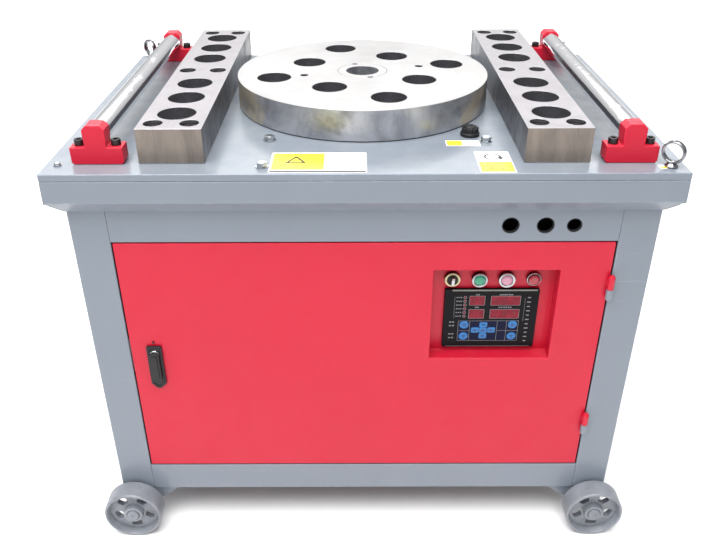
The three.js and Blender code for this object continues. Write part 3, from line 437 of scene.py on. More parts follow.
def enamel(name, colour, roughness=0.38, edge=False, dust=0.10, coat=0.5):
    """Sprayed enamel: orange peel, faint runs, patches of thinner paint, dust on top, and worn edges made
    lighter, partly wear and partly painted highlight.
    """
    g = finish(name)
    patches = g.ramp(g.noise(5, 4, 0.6), 0.32, 0.68)
    runs = g.ramp(g.noise((26, 26, 2.2), 4, 0.55, (3, 1, 0)), 0.45, 0.75)
    painted = g.mix(patches, shade(colour, 0.985), shade(colour, 1.015))
    painted = g.over(painted, runs, 0.25, shade(colour, 0.92))
    settled = g.times(g.facing_up(), g.ramp(g.noise(14, 5, 0.65, (7, 2, 5)), 0.4, 0.8, 0.2, 1.0))
    painted = g.over(painted, settled, dust, srgb(214, 210, 202))
    scratches = g.ramp(g.noise((9, 240, 240), 2, 0.4, (1, 8, 2), 0.4), 0.69, 0.74)
    scratches = g.times(scratches, g.ramp(g.noise(6, 2, 0.5, (4, 4, 9)), 0.52, 0.7))
    painted = g.over(painted, scratches, 0.25, shade(colour, 1.5))
    if edge:
        # Lighter patches along the edges: partly wear, partly painted highlight.
        rubbed_and_highlit = g.ramp(g.noise(90, 4, 0.7, (2, 5, 1)), 0.52, 0.66)
        painted = g.over(painted, rubbed_and_highlit, 0.45, shade(colour, 1.45))
        bare = g.ramp(g.noise(150, 5, 0.7, (9, 3, 4)), 0.66, 0.72)
        painted = g.over(painted, bare, 0.6, srgb(120, 112, 104))
    gloss = g.ramp(g.noise(30, 4, 0.6, (5, 5, 0)), 0.3, 0.8, roughness - 0.06, roughness + 0.12)
    peel = g.bump(g.noise(420, 2, 0.5), 0.10, 0.0004)
    waves = g.add("ShaderNodeBump", {"Strength": 0.12, "Distance": 0.003, "Normal": peel})
    g.feed(waves.inputs["Height"], g.noise(11, 2, 0.4, (6, 1, 3)))
    g.put(Coat_Weight=coat, Coat_Roughness=0.18, Specular_IOR_Level=0.35)
    return g.put(Base_Color=painted, Roughness=gloss, Normal=waves.outputs["Normal"])


def turned_steel(name):
    """Steel faced on a lathe: fine rings and bands, oil stains, and a mottled rim with beige patches."""
    g = finish(name)
    from_centre = g.parts(g.stretched((1, 1, 1), (0, -disc.y * MM, 0)))
    x, y = from_centre[0], from_centre[1]
    radius = g.math("SQRT", g.math("ADD", g.times(x, x), g.times(y, y)))
    outwards = g.add("ShaderNodeCombineXYZ", {0: radius, 1: 0.0, 2: 0.0}).outputs[0]
    rings = g.noise((1500, 1, 1), 3, 0.6, place=outwards)
    bands = g.noise((90, 1, 1), 3, 0.6, (5, 0, 0), place=outwards)
    up = g.facing_up()
    cloud = g.ramp(g.noise(13, 5, 0.62, (2, 7, 0), 0.6), 0.35, 0.72)
    steel = g.mix(rings, srgb(170, 169, 169), srgb(188, 187, 187))
    steel = g.over(steel, g.ramp(bands, 0.4, 0.75), 0.3, srgb(158, 157, 157))
    steel = g.over(steel, cloud, 0.25, srgb(162, 157, 150))
    blotches = g.ramp(g.noise((16, 16, 13), 5, 0.6, (1, 3, 8), 0.7), 0.3, 0.7)
    side = g.mix(blotches, srgb(178, 180, 186), srgb(118, 120, 126))
    beige = g.ramp(g.noise((9, 9, 12), 4, 0.6, (8, 2, 1), 0.9), 0.52, 0.70)
    side = g.over(side, beige, 0.6, srgb(206, 190, 158))
    dark = g.ramp(g.noise((40, 40, 130), 5, 0.62, (3, 3, 5), 0.4), 0.60, 0.74)
    side = g.over(side, dark, 0.35, srgb(120, 118, 116))
    marks = g.math("ADD", g.times(rings, up), g.noise((14, 14, 900), 2, 0.5))
    gloss = g.ramp(g.noise(24, 5, 0.6, (4, 9, 2)), 0.3, 0.8, 0.30, 0.46)
    tangent = g.add("ShaderNodeTangent", direction_type="RADIAL", axis="Z").outputs[0]
    g.put(Base_Color=g.mix(up, side, steel), Roughness=gloss, Metallic=0.62)
    return g.put(Anisotropic=0.6, Tangent=tangent, Normal=g.bump(marks, 0.10, 0.0002))


def milled_steel(name):
    """Milled and flame-cut steel: bright lay on top, brown patches on the ends, and darker long sides."""
    g = finish(name)
    up = g.facing_up()
    lay = g.noise((700, 16, 700), 3, 0.55)
    cloud = g.ramp(g.noise(17, 5, 0.62, (2, 7, 0), 0.6), 0.35, 0.75)
    bright = g.mix(lay, srgb(146, 143, 147), srgb(164, 160, 164))
    bright = g.over(bright, cloud, 0.25, srgb(138, 132, 129))
    runs = g.ramp(g.noise((60, 60, 12), 5, 0.6, (3, 3, 0), 0.5), 0.3, 0.72)
    side = g.mix(runs, srgb(138, 128, 119), srgb(116, 108, 102))
    brown = g.ramp(g.noise((34, 34, 18), 6, 0.68, (6, 1, 4), 0.6), 0.56, 0.74)
    side = g.over(side, brown, 0.4, srgb(112, 97, 84))
    # The long sides, the faces that look along x, are coloured darker.
    darker_long_sides = g.mix(runs, srgb(96, 97, 103), srgb(70, 71, 77))
    side = g.mix(g.facing_across(), side, darker_long_sides)
    marks = g.math("ADD", g.times(lay, up), g.noise((60, 60, 420), 3, 0.6, (1, 1, 1)))
    gloss = g.ramp(g.noise(26, 5, 0.6, (4, 9, 2)), 0.3, 0.8, 0.30, 0.50)
    normal = g.bump(marks, 0.12, 0.0003)
    return g.put(Base_Color=g.mix(up, side, bright), Roughness=gloss, Metallic=0.55, Normal=normal)


def bright_steel(name, colour, roughness, marks=(900, 900, 30), metallic=1.0, grime=0.25):
    """Ground or plated steel with fine marks and a film of grease in patches."""
    g = finish(name)
    film = g.ramp(g.noise(38, 5, 0.65, (3, 6, 1)), 0.45, 0.75)
    line = g.noise(marks, 2, 0.5)
    tone = g.over(colour, film, grime, shade(colour, 0.55))
    tone = g.over(tone, line, 0.2, shade(colour, 1.15))
    gloss = g.ramp(film, 0.0, 1.0, roughness, roughness + 0.16)
    return g.put(Base_Color=tone, Roughness=gloss, Metallic=metallic, Normal=g.bump(line, 0.06, 0.0001))


def cast(name, colour, roughness=0.55, metallic=0.25):
    """A painted casting: sandy skin, pits and worn high spots."""
    g = finish(name)
    sand = g.noise(260, 4, 0.62)
    pits = g.ramp(g.noise(70, 4, 0.6, (5, 2, 2)), 0.58, 0.72)
    tone = g.mix(g.ramp(g.noise(22, 5, 0.65), 0.35, 0.7), shade(colour, 0.82), shade(colour, 1.12))
    tone = g.over(tone, pits, 0.4, shade(colour, 0.55))
    height = g.math("SUBTRACT", sand, g.times(pits, 0.8))
    gloss = g.ramp(sand, 0.2, 0.8, roughness - 0.1, roughness + 0.12)
    return g.put(Base_Color=tone, Roughness=gloss, Metallic=metallic, Normal=g.bump(height, 0.28, 0.0006))


def moulded(name, colour, roughness=0.42, grain=900, strength=0.12, specular=0.5):
    """Moulded plastic or rubber with a fine spark grain and fingerprints."""
    g = finish(name)
    prints = g.ramp(g.noise(60, 4, 0.6, (1, 2, 3)), 0.45, 0.7)
    tone = g.mix(prints, colour, shade(colour, 1.35))
    gloss = g.ramp(prints, 0.0, 1.0, roughness, roughness + 0.14)
    grain = g.bump(g.noise(grain, 2, 0.5), strength, 0.0002)
    return g.put(Base_Color=tone, Roughness=gloss, Specular_IOR_Level=specular, Normal=grain)


def lens(name, colour, glow):
    """Glossy coloured plastic with fine streaks under its face, which may glow a little."""
    g = finish(name)
    ribs = g.noise((1300, 300, 1300), 1, 0.4)
    tone = g.mix(ribs, shade(colour, 0.85), shade(colour, 1.15))
    g.put(Base_Color=tone, Roughness=g.ramp(ribs, 0.0, 1.0, 0.12, 0.22), Normal=g.bump(ribs, 0.08, 0.0001))
    return g.put(Emission_Color=colour, Emission_Strength=glow, Coat_Weight=0.6, Coat_Roughness=0.08)


def vinyl(name, colour):
    """Printed film: nearly flat colour, a little faded, with tiny bubbles."""
    g = finish(name)
    tone = g.mix(g.ramp(g.noise(35, 4, 0.6), 0.35, 0.75), colour, shade(colour, 0.88))
    gloss = g.ramp(g.noise(80, 3, 0.5, (2, 2, 2)), 0.3, 0.8, 0.28, 0.42)
    return g.put(Base_Color=tone, Roughness=gloss, Normal=g.bump(g.noise(160, 3, 0.5), 0.06, 0.0002))


GREY = srgb(112, 120, 130)
RED = srgb(184, 12, 44)
# Each paint has a lighter copy for its rounded edges: painted highlight, with some wear.
grey = [enamel("grey_enamel", GREY), enamel("grey_enamel_edge_highlight", shade(GREY, 1.08), edge=True)]
red = [
    enamel("red_enamel", RED, 0.42, False, 0.04, 0.08),
    enamel("red_enamel_edge_highlight", shade(RED, 1.1), 0.42, True, 0.04, 0.08),
]
disc_steel = turned_steel("turned_steel")
block_steel = milled_steel("milled_steel")
edge_steel = bright_steel("broken_edge_steel", srgb(170, 170, 171), 0.42, metallic=0.7)
bored_steel = bright_steel("bored_steel", srgb(160, 159, 164), 0.16, (220, 220, 20), 0.9, 0.7)
chrome = bright_steel("chrome_plate", srgb(226, 226, 228), 0.07, grime=0.05)
zinc = bright_steel("zinc_plate", srgb(180, 184, 188), 0.30)
eye_steel = bright_steel("eyebolt_steel", srgb(140, 141, 145), 0.14, grime=0.45)
key_ring = bright_steel("key_switch_ring", srgb(172, 164, 132), 0.24)
nickel = bright_steel("bezel_ring", srgb(176, 176, 178), 0.26, grime=0.5)
black_oxide = bright_steel("black_oxide", srgb(52, 48, 50), 0.36, metallic=0.7)
gear_steel = bright_steel("oiled_gear_steel", srgb(120, 112, 104), 0.35)
black = moulded("black_plastic", srgb(20, 20, 23), specular=0.35)
gloss_black = moulded("gloss_black_panel", srgb(8, 7, 11), 0.36, 1500, 0.03, 0.12)
navy = moulded("navy_field", srgb(8, 12, 40), 0.36, 1500, 0.03, 0.12)
unlit = moulded("unlit_segment", srgb(84, 22, 32), 0.3, 1500, 0.02, 0.25)
rubber = moulded("black_rubber", srgb(30, 30, 31), 0.75, 500, 0.3)
wheel_paint = cast("wheel_casting", srgb(126, 130, 137), 0.42, 0.05)
iron = cast("iron_casting", srgb(92, 104, 112))
motor_paint = cast("motor_casting", srgb(62, 92, 118), 0.42)
green_lens = lens("green_lens", srgb(16, 134, 100), 0.03)
red_lens = lens("red_lens", srgb(150, 2, 32), 0.0)
white_lens = lens("white_lens", srgb(186, 128, 150), 0.03)
blue_key = moulded("blue_key", srgb(16, 92, 150), 0.35)
blue_mark = moulded("blue_mark", srgb(10, 30, 78), 0.35)
window = moulded("dark_red_window", srgb(110, 16, 34), 0.2, 1500, 0.02, 0.2)
white_print = vinyl("white_print", srgb(244, 242, 240))
grey_print = vinyl("grey_print", srgb(150, 150, 152))
yellow_print = vinyl("yellow_print", srgb(246, 226, 50))
orange_print = vinyl("orange_print", srgb(236, 122, 40))
black_print = vinyl("black_print", srgb(34, 32, 34))
olive_strip = vinyl("olive_strip", srgb(104, 106, 98))
dull_print = vinyl("dull_print", srgb(112, 112, 116))


# ---------------- fasteners
def hex_bolt(across, height, washer_r):
    """A hexagon head, its chamfered top and its washer, standing on z = 0."""
    flat = across / 2
    crown = [(0, height - 0.4), (flat - 0.4, height - 0.4), (flat - 1.2, height + 0.3), (0, height + 0.3)]
    washer = [(0, -4), (flat / 2, -4), (flat / 2, 0), (washer_r, 0), (washer_r, 1.5), (0, 1.5)]
    head = prism([circle(across / math.sqrt(3), 6, start=20)], 1.4, height, 0.7, 2)
    return head + lathe(crown, 0.3, 32, 2) + lathe(washer, 0.3, 40, 2)


def socket_screw(r, height):
    """A cap screw with a hexagon socket, standing on z = 0."""
    shank, floor = 0.55 * r, 0.42 * height
    base = [(0, -3), (shank, -3), (shank, 0), (r, 0), (r, floor + 0.7), (0, floor + 0.7)]
    return prism([circle(r, 40), hole(0.58 * r, 6)], floor, height, 0.6, 3) + lathe(base, sides=40)


def round_screw(r, height):
    """A cross-slotted pan head on z = 0."""
    dome = [(0, -1.5), (r * 0.6, -1.5), (r * 0.6, 0), (r, 0)]
    dome += [(r * math.cos(a), height * math.sin(a)) for a in (0.35, 0.7, 1.05, 1.35)] + [(0, height)]
    # The cross is laid on the head in the second material, not cut into it: on the panel screws a black
    # cross, painted shade for the recess.
    slot_shade = brick(-r * 0.55, r * 0.55, -0.5, 0.5, height - 0.5, height + 0.06, 0.05)
    return lathe(dome, sides=28) + (slot_shade + slot_shade.turned(90)).painted(1)


# ---------------- disc and spindle
def build_disc():
    shaft = Box("spindle")
    shaft_r = shaft.w / 2
    loops = [circle(disc.w / 2, 192)]
    circles = ((OUTER_PINS, 4, PIN_R), (INNER_PINS, 4, PIN_R), (LIFT_HOLES, 2, LIFT_HOLE_R))
    for (from_edge, bearing), count, r in circles:
        for i in range(count):
            loops.append(hole(r, 72, *polar(disc.w / 2 - from_edge, bearing + 360 / count * i)))
    loops.append(hole(shaft_r + TOUCH, 96))
    shape = prism(loops, disc.z0, disc.z1, 0.7, 3, 1, 2).moved(y=disc.y)
    finishes = [disc_steel, edge_steel, bored_steel]
    piece("turned_disc", shape, "disc", finishes, ["bending_disc"])

    floor = shaft.z1 - SPINDLE_BORE_DEPTH
    profile = [(0, shaft.z0), (SPINDLE_JOURNAL_R, shaft.z0), (SPINDLE_JOURNAL_R, SPINDLE_SHOULDER_Z),
               (shaft_r, SPINDLE_SHOULDER_Z), (shaft_r, shaft.z1), (SPINDLE_BORE_R, shaft.z1),
               (SPINDLE_BORE_R, floor), (0, floor)]
    hub = lathe(profile, 0.8, 128).moved(y=disc.y)
    piece("spindle_hub", hub, "disc", [disc_steel], ["spindle"])
    screws = Shape()
    for bearing in (108, 288):
        x, y = polar(shaft_r, bearing)
        slot = brick(-3.4, 3.4, -0.6, 0.6, -0.2, 0.2, 0.05).painted(1)
        screws += (rod(4.6, -6, 0.15, 0.4, 32, 2) + slot).turned(bearing + 25).moved(x, y + disc.y, shaft.z1)
    piece("spindle_locking_screws", screws, "disc", [black_oxide, edge_steel])


# ---------------- socket blocks
def build_blocks():
    for side in ("left", "right"):
        box = Box("socket_block_" + side)
        loops = [rounded(rectangle(box.w, box.d, box.x, box.y), 0.8, steps=2)]
        for y in BLOCK_PIN_Y:
            loops += [hole(PIN_R, 72, box.x, box.y + y), hole(PIN_R, 72, box.x, box.y - y)]
        bolts = [(box.x + dx, box.y + y) for y in BLOCK_BOLT_Y for dx in (-BLOCK_BOLT_X, BLOCK_BOLT_X)]
        loops += [hole(BLOCK_BOLT_R, 48, x, y) for x, y in bolts]
        finishes = [block_steel, edge_steel, bored_steel]
        shape = prism(loops, box.z0, box.z1, 0.6, 3, 1, 2)
        piece(f"milled_block_{side}", shape, "machine", finishes, ["socket_block_" + side])
        floor = box.z1 - BLOCK_BOLT_SINK
        seat = rod(BLOCK_BOLT_R - 0.1, box.z0 + 1, floor).painted(1)
        screws = Shape()
        for i, (x, y) in enumerate(bolts):
            screws += seat.moved(x, y) + socket_screw(10.5, 9).turned(23 * i).moved(x, y, floor)
        piece(f"block_screws_{side}", screws, "machine", [black_oxide, block_steel])


# ---------------- guide rollers
def bracket_outline(w, axis_h, height):
    right = [(w / 2 - BRACKET_FOOT, 0), (w / 2, BRACKET_FOOT), (w / 2, BRACKET_BASE_H),
             (BRACKET_NECK_W / 2, BRACKET_BASE_H), (CROWN_HALF_W, axis_h),
             (CROWN_HALF_W, height - CROWN_CHAMFER), (CROWN_HALF_W - CROWN_CHAMFER, height)]
    return right + [(-x, z) for x, z in reversed(right)]


def build_rollers():
    for side in ("left", "right"):
        box = Box("guide_roller_" + side)
        end, half = box.d / 2, box.d / 2 - JOURNAL_L - TOUCH
        profile = [(0, -end), (JOURNAL_R, -end), (JOURNAL_R, -half), (ROLLER_R, -half),
                   (ROLLER_R, half), (JOURNAL_R, half), (JOURNAL_R, end), (0, end)]
        bar = lathe(profile, 1.0, 72).facing().moved(box.x, box.y, box.z)
        piece(f"chrome_roller_{side}", bar, f"{side}_roller", [chrome], ["guide_roller_" + side])
    axis_h = Box("guide_roller_left").z - Box("roller_bracket_front_left").z0
    for corner in CORNERS:
        box = Box("roller_bracket_" + corner)
        outline = rounded(bracket_outline(box.w, axis_h, box.h), 1.1, steps=3)
        inner = box.d / 2 - BRACKET_CAP
        shape = prism([outline, hole(JOURNAL_R + 0.6, 40, 0, axis_h)], -box.d / 2, inner, 1.0, 3, 1)
        shape = (shape + prism([outline], inner - 0.02, box.d / 2, 1.0, 3, 1)).facing()
        if corner.startswith("rear"):
            shape = shape.turned(180)
        shape = shape.moved(box.x, box.y, box.z0)
        piece(f"cast_bracket_{corner}", shape, "machine", red, ["roller_bracket_" + corner])
        screws = Shape()
        for x, turn in ((box.x - BRACKET_BOLT_X, 17), (box.x + BRACKET_BOLT_X, 48)):
            screws += socket_screw(6.5, 8).turned(turn).moved(x, box.y, box.z0 + BRACKET_BASE_H)
        piece(f"bracket_screws_{corner}", screws, "machine", [black_oxide])


# ---------------- fittings on the table
def build_table_fittings():
    foot = lathe([(0, 0), (8.8, 0), (8.8, 2.2), (5.2, 5.4), (0, 5.4)], 0.8, 48)
    band = [(12.3, -4.4), (14.4, -4.4), (15.6, -2.4), (15.9, 0), (15.6, 2.4), (14.4, 4.4), (12.3, 4.4),
            (11.8, 0)]
    eye = lathe(band, 1.2, 96, 4).facing()
    for corner in ("front_right", "rear_left"):
        box = Box("eyebolt_" + corner)
        shape = (foot + eye.moved(z=box.h - 16.3)).turned(-40).moved(box.x, box.y, box.z0)
        piece("lifting_eye_" + corner, shape, "machine", [eye_steel], ["eyebolt_" + corner])

    cap = Box("oil_filler_cap")
    lobes = [polar(11.6 + 0.7 * math.cos(2 * math.pi * i / 8), 3.75 * i) for i in range(96)]
    shape = lathe([(0, 0), (14, 0), (14, 4.4), (12.2, 5.4), (0, 5.4)], 0.6, 64)
    shape += prism([lobes], 5.0, 12.2, 0.9)
    shape += lathe([(0, 11.6), (9.0, 11.6), (9.0, 13.0), (7.6, 14.0), (0, 13.4)], 0.5, 48)
    shape = shape.moved(cap.x, cap.y, cap.z0)
    piece("breather_cap", shape, "machine", [black], ["oil_filler_cap"])

    bolts = Shape()
    for i, (x, y) in enumerate(TABLE_BOLTS):
        bolts += hex_bolt(13, 7, 9).turned(13 * i).moved(x, y + disc.y, top)
    piece("table_bolts", bolts, "machine", [zinc])
    small = Shape()
    for x, y in ((-408.0, table.y0 + 31.7), (408.0, table.y1 - 31.7)):
        small += hex_bolt(8, 4, 5.5).moved(x, y, top)
    piece("table_corner_screws", small, "machine", [zinc])


# ---------------- labels, placed from the disc's centre
PAPER, YELLOW, INK, FAINT, ORANGE = range(5)


def label(x0, x1, y0, y1, areas):
    """A printed film: areas are (x0, x1, y0, y1, material number), as shares of its size."""
    low, high = top - 0.1, top + 0.2
    w, d = x1 - x0, y1 - y0
    shape = prism([rounded(rectangle(w, d, w / 2, d / 2), 1.2, steps=3)], low, high, 0.05, 1)
    for a0, a1, b0, b1, number in areas:
        shape += brick(a0 * w, a1 * w, b0 * d, b1 * d, low, high + 0.08, 0.02).painted(number)
    return shape.moved(x0, y0 + disc.y)


def arc_arrow(x, y, r, z):
    """A turning arrow: three quarters of a ring with a head."""
    steps = 28
    arc = [polar(r, 250 - 270 * k / steps) for k in range(steps + 1)]
    arc += [polar(r - 3.2, -20 + 270 * k / steps) for k in range(steps + 1)]
    tip_x, tip_y = polar(r - 1.6, -20)
    head = [(tip_x - 5.5, tip_y + 2), (tip_x, tip_y - 7), (tip_x + 5.5, tip_y + 2)]
    shape = prism([arc[::-1]], z, z + 0.06, 0.02, 1) + prism([head], z, z + 0.06, 0.02, 1)
    return shape.painted(INK).moved(x, y + disc.y)


def triangle_sign(x, y, size, z, number):
    outer, inner = ([polar(r, 90 + 120 * i) for i in range(3)] for r in (size, size * 0.62))
    border = prism([rounded(outer, 1.5), rounded(inner, 0.8)[::-1]], z, z + 0.06, 0.02, 1)
    bar = brick(-0.9, 0.9, -1.2, size * 0.28, z, z + 0.06, 0.02)
    return (border.painted(number) + bar.painted(INK)).moved(x, y + disc.y)


def build_labels():
    main = [(0.02, 0.56, 0.13, 0.96, YELLOW), (0.01, 0.99, 0.01, 0.08, INK), (0.60, 0.96, 0.62, 0.66, FAINT),
            (0.60, 0.90, 0.46, 0.50, FAINT), (0.60, 0.94, 0.30, 0.34, FAINT)]
    small = [(0.03, 0.48, 0.16, 0.95, YELLOW), (0.01, 0.99, 0.01, 0.10, INK), (0.55, 0.92, 0.62, 0.70, FAINT),
             (0.55, 0.86, 0.38, 0.46, FAINT)]
    warning = label(151, 198, -308, -235, [(0.03, 0.97, 0.03, 0.50, YELLOW)])
    warning += arc_arrow(174, -254, 12, top + 0.2)
    labels = {
        "main": label(-126, 3, -306, -237, main) + triangle_sign(-92, -266, 17, top + 0.27, INK),
        "warning": warning + triangle_sign(174, -291, 13, top + 0.27, ORANGE),
        "small": label(116, 164, -215, -192, small),
        "inspection": label(388, 398, -296, -284, [(0.05, 0.95, 0.05, 0.5, YELLOW)]),
    }
    prints = [white_print, yellow_print, black_print, grey_print, orange_print]
    for name, shape in labels.items():
        piece("label_" + name, shape, "machine", prints)


# ---------------- cabinet
def build_cabinet():
    polish("table_plate", grey, 1.3, 4)
    for side in ("front", "rear", "left", "right"):
        polish(side + "_apron", grey, 1.2)
    for corner in CORNERS:
        polish("corner_post_" + corner, grey, 1.6)
        polish("wheel_hanger_" + corner, grey, 0.9)
    for node, width in (("front_top_rail", 0.8), ("front_bottom_rail", 0.8), ("left_panel", 0.6),
                        ("right_panel", 0.6), ("motor_bracket", 1.2)):
        polish(node, grey, width)
    polish("rear_panel", red, 0.6)
    build_apron_welds()
    build_cable_entries()
    build_shade_duct()
    build_panel_screws()
    build_louvres()


def build_apron_welds():
    """Weld beads, ground and painted over, at the mitred corners of the apron."""
    low = Box("front_apron").z0
    slope_h, slope_in = APRON_SLOPE
    knee, start = low + slope_h, table.z0 - 1
    shares = [k / 8 for k in range(1, 9)]
    beads = Shape()
    for sx, sy in SIGNS:
        x, y = sx * (table.w / 2 - 0.8), sy * (table.d / 2 - 0.8)
        path = [(x, y, start)] + [(x, y, start + (knee - table.z0) * f) for f in shares]
        path += [(x - sx * slope_in * f, y - sy * slope_in * f, knee + (low - knee) * f) for f in shares]
        beads += swept(path, 1.1)
    piece("apron_corner_welds", beads, "machine", [grey[0]])


def build_cable_entries():
    """Thin liners of the black rubber finish in the cable entries of the top rail, painted shade on the
    holes' walls.
    """
    right = Box("corner_post_front_right").x1
    z = Box("front_apron").z0 - CABLE_ENTRY_DROP
    shape = Shape()
    for aside, r in CABLE_ENTRIES:
        ring = lathe([(r - 1.3, -1), (r - 0.1, -1), (r - 0.1, 4.9), (r - 1.3, 4.9)], 0.3, 56, 2)
        shape += ring.facing().moved(right - aside, Box("front_top_rail").y1, z)
    piece("cable_entry_shade_liners", shape, "machine", [rubber])


def build_shade_duct():
    """A black duct behind the cable entries, on the top rail's inner face: painted shade seen through the
    holes.
    """
    rail = Box("front_top_rail")
    x0, x1, z0, z1 = 172, 330, 512, 612
    y0, y1 = rail.y1 + 9, rail.y1 + 55
    shape = brick(x0, x1, y1 - 2, y1, z0, z1, 0.4)
    shape += brick(x0, x1, y0, y1 - 1.6, z0, z0 + 2, 0.4) + brick(x0, x1, y0, y1 - 1.6, z1 - 2, z1, 0.4)
    for x in (x0, x1 - 2):
        shape += brick(x, x + 2, y0, y1 - 1.6, z0 + 1.6, z1 - 1.6, 0.4)
    for x in (x0 + 8, x1 - 16):
        shape += brick(x, x + 8, rail.y1 + 0.3, y0 + 0.4, z1 - 9, z1 - 1, 0.4)
    piece("shade_duct", shape, "machine", [black])


def build_panel_screws():
    """Pan-head screws through the posts into the side and rear panels."""
    post = Box("corner_post_front_left")
    aside, back, in_by = -post.x0, -post.y0, 26
    screw = round_screw(5.5, 2.6)
    screws = Shape()
    for z in [post.z0 + 40 + (post.h - 110) * k / 3 for k in range(4)]:
        for sx, sy in SIGNS:
            screws += screw.turned(sx * 90, "Y").moved(sx * aside, sy * (back - in_by), z)
            if sy > 0:
                screws += screw.turned(-90, "X").moved(sx * (aside - in_by), back, z)
    piece("panel_screws", screws, "machine", [zinc, black_oxide])


def louvre(length, depth, height):
    """A pressed hood: a slope that swells from both ends, with a straight lower lip."""
    stations, steps = 12, 8
    drops = [math.sin(math.pi / 2 * k / steps) for k in range(steps + 1)]
    rings = []
    for i in range(stations + 1):
        x = length * (i / stations - 0.5)
        swell = min(1.0, math.sin(math.pi * i / stations) * 2.4) ** 0.6 if 0 < i < stations else 0.02
        slope = [(x, height * (1 - drop), depth * swell * drop) for drop in drops]
        rings.append(slope + [(x, -0.4, 0.0), (x, height, -0.5)])
    return skin(rings)


def build_louvres():
    """Two columns of cooling louvres on the left side panel, each with a thin black strip under its lip,
    painted shade for the opening.
    """
    side = Box("left_panel")
    hoods, slot_shade = Shape(), Shape()
    for column in (-60, 60):
        for z in [380 + 22 * i for i in range(7)]:
            hoods += louvre(96, 5.0, 12).facing().turned(-90).moved(side.x0, column, z)
            # Painted shade: a thin black strip where the opening under each lip would be.
            slot_shade += brick(side.x0 - 0.35, side.x0 + 0.3, column - 44, column + 44, z - 2.8, z - 0.4, 0.1)
    piece("side_louvres", hoods, "machine", [grey[0]])
    piece("side_louvre_slot_shade", slot_shade, "machine", [rubber])


# ---------------- wheels
def spoke_window(inner, outer, width, bearing):
    """A window between two spokes, clockwise: part of a ring, in degrees, with rounded corners."""
    turns = (bearing - width / 2, bearing, bearing + width / 2)
    corners = [polar(outer, t) for t in turns] + [polar(inner, t) for t in reversed(turns)]
    return rounded(corners, 5)[::-1]


def build_wheels():
    for corner in CORNERS:
        box = Box("wheel_" + corner)
        r, half, bore = box.h / 2, box.d / 2, AXLE_R + 0.6
        rim_in, web_r = r - 4.2, r - 7
        rim = [(rim_in, -half), (r - 1.2, -half), (r, -half + 2.5), (r, half - 2.5), (r - 1.2, half),
               (rim_in, half), (web_r, 7), (web_r, -7)]
        web = [circle(rim_in - 2.0, 96), hole(13.5, 64)]
        web += [spoke_window(20, 34, 34, -16 + 360 / SPOKES * i) for i in range(SPOKES)]
        hub = [(bore, 2 - half), (15.5, 2 - half), (16.5, -5), (16.5, 5), (15.5, half - 2), (bore, half - 2)]
        shape = lathe(rim, 1.4, 112) + prism(web, -5, 5, 1.2) + lathe(hub, 1.0, 64)
        shape, wheel = shape.facing().moved(box.x, box.y, box.z), "wheel_" + corner
        piece("cast_" + wheel, shape, wheel, [wheel_paint], [wheel])
        front = corner.startswith("front")
        hanger = Box("wheel_hanger_" + corner)
        end = prism([circle(9.2, 48), hole(4.2, 6)], -1.0, 0.9, 0.5)
        # A black disc at the floor of the hexagon socket: painted shade in the recess.
        end += rod(4.6, -0.6, -0.1, sides=24).painted(1)
        end = end.turned(90 if front else -90, "X").moved(box.x, hanger.y0 if front else hanger.y1, box.z)
        piece(f"axle_end_{corner}", end, "machine", [wheel_paint, black_oxide])


# ---------------- gear train, motor and belt
def build_drive():
    for node in ("bull_gear", "layshaft_pinion", "layshaft_wheel", "input_shaft"):
        polish(node, [gear_steel], 0.4, 2)
    polish("gearbox_cover", [iron], 1.2)
    polish("gearbox_housing", [iron], 2.0)
    build_gearbox_detail()
    build_pulleys()
    build_belt()
    build_motor()


def build_gearbox_detail():
    box = Box("gearbox_housing")
    ribs = Shape()
    for sy in (-1, 1):
        out = box.y + sy * (box.d / 2 + 3)
        y0, y1 = sorted((out, out - sy * 6))
        for i in range(5):
            x = box.x0 + 40 + (box.w - 80) * i / 4
            ribs += brick(x - 3, x + 3, y0, y1, box.z0 + 6, box.z1 - 14, 1.0)
    piece("gearbox_ribs", ribs, "machine", [iron])
    bolts = Shape()
    for x in (box.x0 + 18, box.x, box.x1 - 18):
        for y in (box.y0 + 18, box.y1 - 18):
            bolts += hex_bolt(13, 7, 9).turned(180, "X").moved(x, y, box.z0)
    plug = hex_bolt(22, 9, 14).turned(180, "X").moved(box.x0 + 80, box.y - 90, box.z0)
    piece("gearbox_bolts", bolts + plug, "machine", [zinc])


def pulley_profile(pitch_r, bore_r, half, lip):
    back = pitch_r + BELT_BACK
    rim, foot = back + lip, back - BELT_T - 1.2
    narrow = BELT_FOOT_W / 2 + 0.3
    wide = narrow + 0.3 + (lip + BELT_T) * (BELT_W - BELT_FOOT_W) / 2 / BELT_T
    web, dish_in, dish_out = half * 0.45, bore_r + 12, foot - 8
    upper = [(foot, narrow), (rim, wide), (rim, half)]
    if dish_out > dish_in + 8:
        upper += [(dish_out, half), (dish_out, web), (dish_in, web), (dish_in, half)]
    upper.append((bore_r, half))
    return [(r, -h) for r, h in reversed(upper)] + upper


def build_pulleys():
    belt_z = Box("drive_belt").z
    for name, pitch_r, body, bore in (("driven_pulley", BIG_PULLEY_R, "input_drive", 12.8),
                                      ("motor_pulley", SMALL_PULLEY_R, "motor_rotor", 13)):
        box = Box(name)
        shape = lathe(pulley_profile(pitch_r, bore, BELT_W / 2 + 5, 3), 0.8, 112, 2).moved(z=belt_z)
        if name == "motor_pulley":
            shape += rod(14, box.z0, box.z1, 1.0, 48, 2).painted(1)
        piece("turned_" + name, shape.moved(box.x, box.y), body, [iron, gear_steel], [name])


